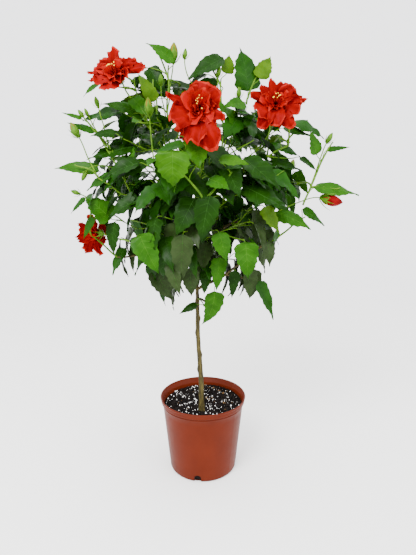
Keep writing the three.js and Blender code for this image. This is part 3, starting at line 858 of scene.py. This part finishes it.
# Open blooms: mass, heart as shares of its half sizes, facing as azimuth and elevation, and the broad
# petals as (clock angle from right, reach, width, how pointed, how far the tip leans off the stalk's
# way in radians). Petals that lean less stand in front of the rest.
BLOOMS = [
    ("bloom_middle", (0.14, 0.05, 0.24), -92, 6,
     ((70, 0.82, 0.80, 0.0, 1.7), (98, 0.70, 0.56, 0.1, 1.4), (128, 0.66, 0.34, 0.0, 1.6),
      (161, 1.16, 0.44, 0.60, 1.8), (-155, 1.10, 0.74, 0.0, 1.3), (-138, 0.95, 0.50, 0.0, 2.0),
      (-66, 1.46, 0.60, 0.0, 1.9), (-96, 1.20, 0.68, 0.0, 1.3), (-84, 0.62, 0.56, 0.0, 0.9),
      (-40, 0.84, 0.44, 0.2, 1.9), (-20, 1.02, 0.50, 0.50, 1.6), (30, 0.92, 0.56, 0.10, 1.3),
      (2, 0.70, 0.46, 0.1, 1.0))),
    ("bloom_upper_left", (-0.10, -0.1, -0.20), -108, 14,
     ((88, 1.16, 0.34, 0.15, 1.5), (118, 0.84, 0.80, 0.0, 1.6), (58, 0.78, 0.62, 0.1, 1.6),
      (30, 1.02, 0.46, 0.15, 1.8), (8, 1.20, 0.44, 0.20, 1.9), (-28, 0.70, 0.80, 0.0, 1.3),
      (-66, 0.72, 0.66, 0.0, 1.4), (-102, 0.98, 0.74, 0.0, 1.5), (-140, 0.92, 0.62, 0.1, 1.7),
      (-164, 1.00, 0.30, 0.30, 1.9), (174, 1.02, 0.28, 0.35, 1.9), (152, 0.78, 0.90, 0.0, 1.5))),
    ("bloom_upper_right", (-0.16, 0.0, 0.08), -97, 4,
     ((103, 1.02, 0.32, 0.30, 1.7), (132, 0.94, 0.36, 0.10, 1.6), (160, 1.08, 0.50, 0.35, 1.5),
      (-146, 1.04, 0.80, 0.0, 1.1), (-118, 1.28, 0.46, 0.0, 1.8), (-88, 1.16, 0.62, 0.05, 1.6),
      (-57, 1.30, 0.46, 0.15, 1.8), (-18, 1.06, 0.90, 0.0, 1.4), (4, 1.20, 0.26, 0.15, 1.9),
      (36, 0.96, 0.60, 0.0, 1.5), (66, 0.90, 0.54, 0.05, 1.7))),
    ("bloom_lower_left", (-0.05, 0.1, 0.1), 142, -8,
     ((90, 1.20, 0.60, 0.05, 1.8), (40, 1.10, 0.60, 0.10, 1.5), (-10, 1.15, 0.60, 0.10, 1.8),
      (-60, 1.20, 0.60, 0.15, 1.6), (-100, 1.25, 0.45, 0.25, 1.9), (-150, 1.15, 0.75, 0.0, 1.6),
      (150, 1.15, 0.75, 0.0, 1.7))),
    ("back_upper_right", (0.70, 0.65, 0.80), 58, 28, ()),
    ("back_middle", (-0.15, -0.10, 1.35), 96, 34, ()),
]
BACK_BLOOM_HALF = 58 * MM
BACK_PETALS = 8
BLOOM_UP = UP + 0.001
FIRST_BLOOM_SEED = 500
OUTER_GRID, SECOND_GRID, HEART_GRID = (15, 13), (11, 9), (9, 7)
SACS = 8
THREAD_STATIONS = 5

# Low and high ends that traits are dealt between: a back petal's reach, width, point and tip lean, and
# for each inner ring the two leans, reach, width, cup, frill and point.
BACK_RANGES = ((0.88, 1.08), (0.5, 0.9), (0, 0.3), (1.3, 1.9))
SECOND_COUNT = 9
SECOND_RANGES = ((0.2, 0.7), (0.7, 1.9), (0.45, 0.76), (0.34, 0.60), (-0.4, 0.8), (0.10, 0.18), (0, 0.3))
HEART_COUNT = 20
HEART_RANGES = ((-0.2, 0.5), (0.3, 1.9), (0.30, 0.52), (0.22, 0.42), (-0.2, 1.0), (0.12, 0.26), (0, 0.4))


def dealt(ranges, count, pick):
    """For each range, that many numbers drawn evenly from it."""
    return [pick.uniform(low, high, count) for low, high in ranges]


def bloom_arrays(index, row):
    """One double bloom: a ring of broad outer petals, a ring of shorter ones that stand up inside it,
    and a crowded heart of crumpled petals with pollen sacs showing between them."""
    node, share, azimuth, elevation, outer = row
    pick = np.random.default_rng(FIRST_BLOOM_SEED + index)
    way = bearing(azimuth, elevation)
    if outer:
        half = BOXES[node][1]
        size = np.array([half[0], half[2], 0.5 * (half[0] + half[2])])
    else:
        size = np.full(3, BACK_BLOOM_HALF)
        turns = np.arange(BACK_PETALS) * 360 / BACK_PETALS + pick.uniform(-9, 9, BACK_PETALS)
        outer = np.stack([turns, *dealt(BACK_RANGES, BACK_PETALS, pick)], -1)
    clock, reach, width, point, tip_lean = np.array(outer, float).T
    first_lean, cup, frill = dealt(((0.55, 0.9), (-0.5, 0.4), (0.09, 0.15)), len(clock), pick)
    big = petals(np.radians(clock), (first_lean, tip_lean, reach * 0.97, width * 0.92, cup, frill, point),
                 OUTER_GRID, pick)
    turns = np.arange(SECOND_COUNT) * 360 / SECOND_COUNT + pick.uniform(-16, 16, SECOND_COUNT)
    second = petals(np.radians(turns), dealt(SECOND_RANGES, SECOND_COUNT, pick), SECOND_GRID, pick)
    turns = pick.uniform(0, 2 * np.pi, HEART_COUNT)
    heart_petals = petals(turns, dealt(HEART_RANGES, HEART_COUNT, pick), HEART_GRID, pick)
    foot = turned_round(1, 0, turns)[:, None, None]
    heart_petals = heart_petals + foot * pick.uniform(0.02, 0.20, (HEART_COUNT, 1, 1, 1))
    spread = pick.normal(0, 0.10, (SACS, 2)) + [0.04, 0.14]
    tips = np.concatenate([spread, pick.uniform(0.50, 0.68, (SACS, 1))], -1)
    threads = np.linspace(tips * [0.25, 0.25, 0.4], tips, THREAD_STATIONS, axis=1)
    heart = place_in(node, share)
    parts = {"outer": big, "second": second, "heart": heart_petals, "sacs": tips, "threads": threads}
    bloom = {key: placed(local, heart, way, BLOOM_UP, size) for key, local in parts.items()}
    return bloom | {"base": heart - way * size[2] * 0.42, "way": way, "heart_at": heart, "size": size[2]}


# Buds: mass, place as shares of its half sizes, azimuth and elevation they point to, length in mm,
# and kind: "green" is closed, "tipped" shows its petals' pale tips, "opening" shows dark red ones.
BUDS = [
    ("inner_upper_left", (-0.1, -1.4, 0.6), -100, 78, 40, "tipped"),
    ("left_buds", (-0.6, 0.0, -0.8), -200, 58, 40, "tipped"),
    ("top_left", (0.5, 0.2, 0.3), -60, 82, 44, "tipped"),
    ("top_left", (1.2, 0.2, 0.3), 10, 84, 24, "green"),
    ("top_middle", (0.5, -0.2, -0.4), -30, 82, 26, "green"),
    ("top_right", (-0.7, -0.6, -0.8), -100, 80, 26, "green"),
    ("left_buds", (0.4, 0.2, 0.7), -190, 75, 26, "green"),
    ("left_buds", (-0.3, 0.0, 0.1), -200, 50, 22, "green"),
    ("left_buds", (-0.1, 0.3, 0.2), -170, 65, 20, "green"),
    ("right_shoot", (0.1, 0.0, 0.3), 10, 60, 28, "green"),
    ("left_tip", (0.1, -0.3, -0.7), -190, -60, 26, "green"),
    ("left_leaf", (-0.9, 0.3, 0.7), -185, 20, 24, "green"),
    ("upper_left", (0.6, -0.6, 0.2), -80, 80, 26, "green"),
    ("right_tip", (-0.1, 0.0, -0.75), -8, -12, 54, "opening"),
    ("back_upper_left", (-0.4, 0.6, 0.9), 110, 70, 40, "tipped"),
    ("back_upper_right", (-0.5, 0.4, 1.0), 90, 76, 30, "green"),
    ("back_right", (0.5, 0.6, 0.8), 50, 60, 34, "tipped"),
    ("back_left", (0.4, 0.8, 0.8), 100, 65, 28, "green"),
    ("back_middle", (-0.6, 0.7, 0.8), 100, 70, 30, "green"),
    ("back_middle", (0.2, 0.9, 0.2), 84, 30, 42, "tipped"),
    ("back_lower_left", (-0.3, 0.8, 0.4), 120, 10, 40, "tipped"),
]


# By kind: how fat a bud is, how far up the calyx covers it, how its petals crumple, and how far the
# calyx's points part, as shares of its length.
BUD_KINDS = {"green": (0.20, 1.0, 0.06, 0.0), "tipped": (0.22, 0.80, 0.06, 0.22),
             "opening": (0.26, 0.32, 0.2, 0.22)}
BUD_TURN = np.array([0.37, 0.61, 0.2])
CALYX_POINTS = 5
BRACTS = 7


def spindle(t):
    """A spindle's radius, as a share of its greatest, at that share of its height: the sine of pi
    t^0.85, to the power 0.8."""
    return np.sin(np.pi * t ** 0.85) ** 0.8


def bud_parts(base, way, length, kind, pick):
    """A bud: a spindle of petals inside a calyx with five points, over a ruff of seven narrow bracts.
    The calyx keeps just outside the spindle, and its edge rises and falls as a cosine round it."""
    fat, top, crumple, parting = BUD_KINDS[kind]
    a = np.linspace(0, 2 * np.pi, 2 * CALYX_POINTS, endpoint=False)
    wavy = np.cos(CALYX_POINTS * a)
    t = np.linspace(0.02, 1, 10)[:, None]
    core = turned_round(fat * spindle(t) * (1 + crumple * np.cos(CALYX_POINTS * a + 3 * t)) + 0.012,
                        t, a)
    h = np.linspace(0, 1, 8)[:, None]
    z = h * top * (1 + parting * wavy * h ** 2)
    r = (fat * spindle(np.clip(z, 0.02, 1)) + 0.022) * (1 + 0.05 * wavy)
    calyx = turned_round(r * np.where(h == 0, 0.35, 1), z, a)
    k = np.arange(BRACTS)[:, None, None] * 2 * np.pi / BRACTS + pick.uniform(0, 1)
    s = np.linspace(0, 1, 5)[None, :, None]
    w = np.linspace(-1, 1, 3)[None, None, :]
    bracts = turned_round(0.07 + 0.48 * np.sin(s * 1.2), -0.04 + 0.40 * s + 0.24 * s ** 2, k)
    bracts = bracts + turned_round(0.06 * (1 - s) ** 0.7 * w, 0, k + np.pi / 2)
    return [placed(local, base, way, np.cross(way, BUD_TURN), length) for local in (core, calyx, bracts)]


# ---------------------------------------------------------------- grow the plant

FORK_HEIGHT = 0.47
TRUNK_STATIONS, LIMB_STATIONS, JOINTS_PER_LIMB = 120, 8, 30
WOODY_WITHIN = 0.2
LEAF_MIDDLE_SHARE = 0.46
STRONG_HOOK = 0.34
TWIG_BEYOND, TWIG_SHORT, TWIG_BELOW = 0.042, 16 * MM, 10 * MM
STALK_STATIONS = 6

# How far each kind of stem grows from its limb, in metres, and its foot and tip radii in mm.
MASS_REACH = 0.06
LONG_SHOOT_RADII = (2.6, 1.6)
TWIG_REACH, TWIG_RADII = 0.07, (1.8, 1.1)
STALK_REACH, STALK_RADII = 0.022, (1.2, 0.85)
BLOOM_REACH, BLOOM_STALK_RADII = 0.18, (2.4, 1.9)
BUD_REACH, BUD_STALK_RADII = 0.12, (1.8, 1.4)

stems = Stems()
trunk_path, _ = resampled(trunk_line, trunk_radius, TRUNK_STATIONS)
stems.add(trunk_path[trunk_path[:, 2] > FORK_HEIGHT])
limb_lines = {limb: axis_of(limb, LIMB_STATIONS) for limb in BOUGHS + SHOOTS}
for line, radii in limb_lines.values():
    stems.add(resampled(line, radii, JOINTS_PER_LIMB)[0])

# Long bare shoots that show between the sprays: mass, place of the tip as shares of its half sizes,
# azimuth and elevation of the tip, and how far below it the shoot leaves its limb, in metres.
LONG_SHOOTS = [
    ("left_tip", (0.6, -0.8, -0.5), 150, 58, 0.19),
    ("upper_left", (-0.5, -0.6, 0.1), 120, 72, 0.22),
    ("upper_left", (0.3, -0.8, 0.2), 100, 82, 0.22),
    ("top_left", (0.2, 0.0, -0.3), 80, 82, 0.24),
    ("top_middle", (0.6, -0.2, -0.8), 70, 80, 0.20),
    ("top_right", (-0.6, -0.3, -0.5), 60, 78, 0.22),
    ("right_shoulder", (0.3, -0.6, 0.2), 20, 50, 0.20),
]
for node, share, azimuth, elevation, reach in LONG_SHOOTS:
    stems.grow(place_in(node, share), bearing(azimuth, elevation), reach, LONG_SHOOT_RADII, "shoot")

# How a mass's own stem grows, by whether it starts near the fork: its kind, and its radii in mm.
NEAR_FORK, FARTHER_OUT = ("woody", (3.2, 1.8)), ("shoot", (2.6, 1.5))
FORK = trunk_line[-5]
for node in sorted(MASSES, key=lambda name: np.linalg.norm(BOXES[name][0] - FORK)):
    middle, half = BOXES[node]
    height = crown_level(middle[2])
    away = outward(middle)
    kind, radii = NEAR_FORK if np.linalg.norm(middle - FORK) < WOODY_WITHIN else FARTHER_OUT
    end = middle + half * (0.35 * away + 0.25 * UP * (height - 0.25))
    stems.grow(end, away + UP * (1.6 * height), MASS_REACH, radii, kind)

leaf_rows = [(node, tint, place_in(node, share), *rest) for node, tint, share, *rest in LEADING]
lead_count = len(leaf_rows)
led = np.array([row[2] for row in leaf_rows])
fillers = filling_leaves(list(led))
blooms = [bloom_arrays(i, row) for i, row in enumerate(BLOOMS)]
hearts = np.array([bloom["heart_at"] for bloom in blooms])

# In metres: how far to the side of a leading leaf, and of a bloom, a filling leaf keeps when it lies in
# front of them; how far behind a leading leaf still counts as in front; and how far off a bloom it keeps.
LEAF_GAP, BLOOM_GAP, BEHIND, BLOOM_ROOM = 0.034, 0.066, 0.012, 0.062


def leaves_clear(spot):
    """Whether a filling leaf there leaves the blooms free and hides no leading leaf from the front."""
    from_leaf, from_bloom = spot - led, spot - hearts
    hides_leaf = (np.hypot(from_leaf[:, 0], from_leaf[:, 2]) < LEAF_GAP) & (from_leaf[:, 1] < BEHIND)
    hides_bloom = ((np.hypot(from_bloom[:, 0], from_bloom[:, 2]) < BLOOM_GAP) & (from_bloom[:, 1] < 0)
                   & (hearts[:, 1] < 0))
    near_bloom = np.linalg.norm(from_bloom, axis=1) < BLOOM_ROOM
    return not (hides_leaf.any() or near_bloom.any() or hides_bloom.any())


leaf_rows += [row for row in fillers if leaves_clear(row[2])]
leaf_count = len(leaf_rows)
leaf_node, leaf_tint, leaf_spot, *measures = (np.array(column) for column in zip(*leaf_rows))
leaf_azimuth, leaf_elevation, leaf_length, leaf_width = measures
leaf_way = bearing(leaf_azimuth, leaf_elevation)
leaf_length = leaf_length * LEAF_STRETCH * MM
leaf_width = leaf_length * leaf_width
leads = np.arange(leaf_count) < lead_count

# Leading blades face forward and up, the rest outward and up, and each strays a little from that. The
# droop and the fold are in radians, the hook is a share of the length.
radial = outward(leaf_spot)
facing = np.where(leads[:, None], 0.75 * FRONT + 0.25 * radial + 0.8 * UP, 0.5 * radial + 0.85 * UP)
facing = facing + rng.normal(0, 0.28, (leaf_count, 3)) * np.where(leads, 0.25, 1.0)[:, None]
leaf_face = square_to(facing, leaf_way)
leaf_droop = rng.uniform(0.2, 1.0, leaf_count) * np.where(leads, 0.7, 1.0)
leaf_fold = rng.uniform(-0.15, 0.45, leaf_count) * np.where(leads, 0.6, 1.0)
leaf_hook = rng.uniform(-0.08, 0.08, leaf_count)
leaf_hook[leaf_node == "low_curled_leaf"] = STRONG_HOOK
leaf_base = leaf_spot - LEAF_MIDDLE_SHARE * leaf_length[:, None] * leaf_way
blades = leaf_blades(leaf_base, leaf_way, leaf_face, leaf_length, leaf_width, leaf_fold, leaf_droop,
                     leaf_hook, rng)

stalks = []
for i in np.argsort(np.linalg.norm(leaf_base - FORK, axis=1)):
    foot, leaf = leaf_base[i], leaf_way[i]
    joint, _ = stems.joint_for(foot, STALK_REACH, leaf)
    if np.linalg.norm(joint - foot) > TWIG_BEYOND:
        stop = foot - leaf * TWIG_SHORT - UP * TWIG_BELOW
        stems.grow(stop, unit(outward(stop) + UP * 0.6 + leaf * 0.5), TWIG_REACH, TWIG_RADII, "twig")
    joint, way = stems.joint_for(foot, STALK_REACH, leaf)
    span = np.linalg.norm(foot - joint)
    stalks.append((bezier(joint, unit(way + unit(foot - joint)) * span * 0.4, leaf * span * 0.35,
                          foot + leaf * 1.5 * MM, STALK_STATIONS),
                   np.linspace(*STALK_RADII, STALK_STATIONS) * MM))
stems.kinds["stalk"] = stalks

for bloom in blooms:
    stems.grow(bloom["base"], bloom["way"] + 0.6 * UP, BLOOM_REACH, BLOOM_STALK_RADII, "flower_stalk")

bud_meshes = {"core_green": [], "core_tipped": [], "core_opening": [], "calyx": [], "bracts": []}
bud_pick = np.random.default_rng(BUD_SEED)
for node, share, azimuth, elevation, length, kind in BUDS:
    way = bearing(azimuth, elevation)
    base = place_in(node, share) - way * length * 0.4 * MM
    stems.grow(base, way, BUD_REACH, BUD_STALK_RADII, "flower_stalk")
    core, calyx, bracts = bud_parts(base, way, length * MM, kind, bud_pick)
    bud_meshes["core_" + kind].append(core)
    bud_meshes["calyx"].append(calyx)
    bud_meshes["bracts"] += list(bracts)
for bloom in blooms:
    _, calyx, bracts = bud_parts(bloom["base"], bloom["way"], bloom["size"] * 0.62, "opening", bud_pick)
    bud_meshes["calyx"].append(calyx)
    bud_meshes["bracts"] += list(bracts)


# ---------------------------------------------------------------- the pieces

# Knots: height up the trunk as a share, angle from right in degrees, rise as a share of the radius.
TRUNK_KNOTS = ((0.22, 180, 0.5), (0.29, 0, 0.45), (0.40, 200, 0.5), (0.47, 350, 0.55), (0.55, 190, 0.45))
TRUNK_GRID, BOUGH_GRID = (300, 28), (90, 16)
TRUNK_SEED, FIRST_BOUGH_SEED = 31, 60
WOODY_SIDES, THREAD_SIDES = 9, 4
THINNEST_SHOOT = 2.4 * MM
THREAD_RADIUS = 0.5 * MM


def round_stems(rows, sides):
    """Tubes along the paths of stems of one kind, closed at both ends."""
    paths, radii = (np.array(column) for column in zip(*rows))
    return sheets(tubes(paths, radii, sides), round_cols=True, capped=True)


bark = hibiscus_bark()
trunk_shape = bark_tube(trunk_line, trunk_radius, *TRUNK_GRID, TRUNK_SEED, TRUNK_KNOTS)
add_piece("trunk_bark", trunk_shape, bark, ["trunk"])
bough_shapes = []
for order, limb in enumerate(BOUGHS):
    line, radii = limb_lines[limb]
    nearest = trunk_path[np.argmin(np.linalg.norm(trunk_path - line[0], axis=1))]
    line = np.concatenate([[nearest * 0.7 + line[0] * 0.3], line])
    radii = np.concatenate([radii[:1], radii])
    bough_shapes.append(bark_tube(line, radii, *BOUGH_GRID, FIRST_BOUGH_SEED + 5 * order))
bough_shapes.append(round_stems(stems.kinds["woody"], WOODY_SIDES))
add_piece("boughs_bark", joined(bough_shapes), bark, BOUGHS)

green_stem = living_skin("hibiscus_shoot_green", "#345808", "#507016", 0.5, 14.0, 1.2, 0.08, IOR=1.42,
                         Specular_IOR_Level=0.12)
stalk_skin = living_skin("hibiscus_leaf_stalk", "#375a0a", "#527416", 0.5, 10.0, 1.2, 0.06, IOR=1.42,
                         Specular_IOR_Level=0.12)
for limb in SHOOTS:
    line, radii = resampled(*limb_lines[limb], STEM_STATIONS["shoot"])
    stems.kinds["shoot"].append((line, np.maximum(radii, THINNEST_SHOOT)))
for kind, sides, material in (("shoot", 8, green_stem), ("twig", 6, green_stem),
                              ("stalk", 5, stalk_skin), ("flower_stalk", 6, stalk_skin)):
    add_piece(kind + "s", round_stems(stems.kinds[kind], sides), material,
              SHOOTS if kind == "shoot" else ())

# Each foliage mass is stood for by the leaves of the tint that it has most of.
homes = {tint: [] for tint in LEAF_TINTS}
for node in MASSES:
    if SLOT_OF[node] == "foliage":
        tints = list(leaf_tint[leaf_node == node])
        homes[max(LEAF_TINTS, key=tints.count)].append(node)
for tint, (low, high) in LEAF_TINTS.items():
    skin = living_skin("hibiscus_leaf_" + tint, low, high, 0.34, IOR=1.45, Specular_IOR_Level=0.06)
    add_piece("leaves_" + tint, leaf_sheets(blades[leaf_tint == tint]), skin, homes[tint])
# The veins take paler or deeper tones with the tints of the leaves they lie on, so they share that mix of
# young growth and painted light and shade.
for name, low, high, tints in (("veins_pale", "#305a0c", "#3e6818", ("light", "young", "bright")),
                               ("veins_deep", "#1e4010", "#2a4e1a", ("mid", "dark", "olive"))):
    skin = living_skin("hibiscus_" + name, low, high, 0.45, IOR=1.45, Specular_IOR_Level=0.1)
    some = np.isin(leaf_tint, tints)
    add_piece(name, leaf_veins(blades[some], leaf_face[some], leaf_width[some]), skin)


def of_all(key):
    """One part of every bloom, in one array."""
    return np.concatenate([bloom[key] for bloom in blooms])


CLAW_ROWS = 5
# The claws' dark red is partly the real darker base of hibiscus petals and partly painted shade for the
# gaps between overlapping petals.
claw_and_gap_shade_skin = petal_skin("hibiscus_petal_claw_with_painted_shade", "#2e0000", "#440000")
outer_skin = petal_skin("hibiscus_petal_scarlet", "#6a0000", "#780000")
# The inner ring and heart petals take a lighter red than the outer ones: painted light that offsets the
# shade deep inside the bloom.
heart_lightened_skin = petal_skin("hibiscus_petal_crimson_painted_light", "#820000", "#940000")
# A lighter coral band along every petal's edge: a painted highlight where the edges turn to the light. The
# stamen threads take the same lighter red.
edge_highlight_and_thread_skin = petal_skin("hibiscus_petal_edge_painted_highlight", "#840e06", "#9a2014")
outer, second, inner = of_all("outer"), of_all("second"), of_all("heart")
for name, material, cuts, nodes in (
        ("petal_claws_with_painted_shade", claw_and_gap_shade_skin, (outer[:, :CLAW_ROWS + 1], second[:, :CLAW_ROWS - 1]), ()),
        ("petals_outer", outer_skin, (outer[:, CLAW_ROWS:-1],),
         [node for node in MASSES if SLOT_OF[node] == "bloom"]),
        ("petals_inner", heart_lightened_skin, (second[:, CLAW_ROWS - 2:-1], inner[:, :-1]), ()),
        ("petal_edges_painted_highlight", edge_highlight_and_thread_skin, (outer[:, -2:], second[:, -2:], inner[:, -2:]), ())):
    add_piece(name, joined([sheets(part) for part in cuts]), material, nodes)
threads = of_all("threads")
thread_rows = [(path, np.full(len(path), THREAD_RADIUS)) for path in threads]
add_piece("stamen_threads", round_stems(thread_rows, THREAD_SIDES), edge_highlight_and_thread_skin)
sacs = of_all("sacs")
pollen = loose_grains("pollen_ripe", ((0.3, "#e8a818"), (0.7, "#fbd850")), 2.0, 0.5, 0.15, 0.8, 1.45)
sac_sizes = rng.uniform(1.2, 1.9, len(sacs)) * MM
add_piece("pollen_sacs", lumps(sacs, sac_sizes, rng.uniform(0.6, 1, (len(sacs), 3)), rng), pollen)

calyx_skin = living_skin("hibiscus_calyx_green", "#30560a", "#4c7018", 0.5, 9.0, 1.2, 0.1, IOR=1.42,
                         Specular_IOR_Level=0.1)
tip_skin = petal_skin("hibiscus_bud_tip_blush", "#56480e", "#74601c")
wine_skin = petal_skin("hibiscus_bud_crimson", "#500204", "#7c0608")
for name, material, slot in (("core_green", calyx_skin, "green_stem"), ("core_tipped", tip_skin, "bloom"),
                             ("core_opening", wine_skin, "bloom"), ("calyx", calyx_skin, "green_stem")):
    shape = sheets(np.array(bud_meshes[name]), round_cols=True, capped=True)
    add_piece("bud_" + name, shape, material)
add_piece("bud_bracts", sheets(np.array(bud_meshes["bracts"])), calyx_skin)

add_piece("pot_shell", pot_shape(), moulded_polypropylene(), ["pot"])
mix = loose_grains("potting_mix_moist", ((0.4, "#070606"), (0.62, "#17110e"), (0.78, "#2c221b")),
                   4.0, 2.4, 1.5, 0.9, 1.4)
add_piece("soil_bed", soil_shape(), mix, ["soil"])

# Grains on the soil: piece, how many, smallest and largest half size in mm, the flattest as a share,
# and the material's name, tones, colour patch, pits and their depth in mm, roughness and IOR.
GRAINS = (
    ("soil_crumbs", 1100, 1.2, 4.5, 0.5, "peat_crumb_loose",
     ((0.35, "#050404"), (0.6, "#120e0c"), (0.78, "#281f18")), 8.0, 1.0, 0.4, 0.9, 1.4),
    ("soil_perlite", 340, 0.9, 2.7, 0.6, "perlite_expanded",
     ((0.25, "#c4beb2"), (0.42, "#efede8"), (0.7, "#fdfcf9")), 10.0, 0.8, 0.3, 0.85, 1.5),
    ("soil_bark_chips", 36, 2.2, 5.5, 0.22, "pine_bark_chipped",
     ((0.3, "#2c1c12"), (0.5, "#5a4228"), (0.72, "#8a7048")), 6.0, 1.2, 0.4, 0.8, 1.45),
)
grain_pick = np.random.default_rng(GRAIN_SEED)
for name, count, low, high, flattest, *look in GRAINS:
    add_piece(name, scattered(count, low, high, flattest, grain_pick), loose_grains(*look),
              smooth=False)


# ---------------------------------------------------------------- studio

FLOOR_HALF = 40.0
AIR_COLOUR = "#eeeef0"
AIR_STRENGTH = 3.5
LENS_MM, SENSOR_MM = 27.5, 36
CAMERA_PLACE = (0.0034, -1.0738, 0.7368)
LOOKING_DOWN = math.radians(11.05)
LOOKING_ASIDE = -0.0096


def add_to_scene(name, data, place=(0, 0, 0), turn=(0, 0, 0)):
    """An object of the studio, at a place in metres and turned by angles in radians."""
    made = bpy.data.objects.new(name, data)
    made.location = place
    made.rotation_euler = turn
    bpy.context.scene.collection.objects.link(made)
    return made


def add_softbox(name, place, aim, width, power):
    """A square area light at a place, turned to face the point it lights."""
    light = bpy.data.lights.new(name, "AREA")
    light.size = width
    light.energy = power
    x, y, z = unit(np.array(aim, float) - np.array(place, float))
    add_to_scene(name, light, place, (math.atan2(math.hypot(x, y), -z), 0, math.atan2(-x, y)))


floor_mesh = bpy.data.meshes.new("studio_floor")
corners = np.array([(-1, -1, 0), (1, -1, 0), (1, 1, 0), (-1, 1, 0)]) * FLOOR_HALF
floor_mesh.from_pydata(corners.tolist(), [], [(0, 1, 2, 3)])
floor_mesh.materials.append(seamless_paper(AIR_COLOUR, AIR_STRENGTH))
floor = add_to_scene("studio_floor", floor_mesh)

world = bpy.data.worlds.new("studio_air")
world.use_nodes = True
world.node_tree.nodes["Background"].inputs["Color"].default_value = linear(AIR_COLOUR)
world.node_tree.nodes["Background"].inputs["Strength"].default_value = AIR_STRENGTH
bpy.context.scene.world = world

add_softbox("key_softbox", (-0.9, -1.6, 2.5), (0, 0, 0.75), 1.1, 120)
add_softbox("fill_softbox", (1.8, -1.4, 1.6), (0, 0, 0.6), 1.4, 24)

camera_data = bpy.data.cameras.new("portrait_camera")
camera_data.lens = LENS_MM
camera_data.sensor_width = SENSOR_MM
camera_turn = (math.radians(90) - LOOKING_DOWN, 0, LOOKING_ASIDE)
bpy.context.scene.camera = add_to_scene("portrait_camera", camera_data, CAMERA_PLACE, camera_turn)
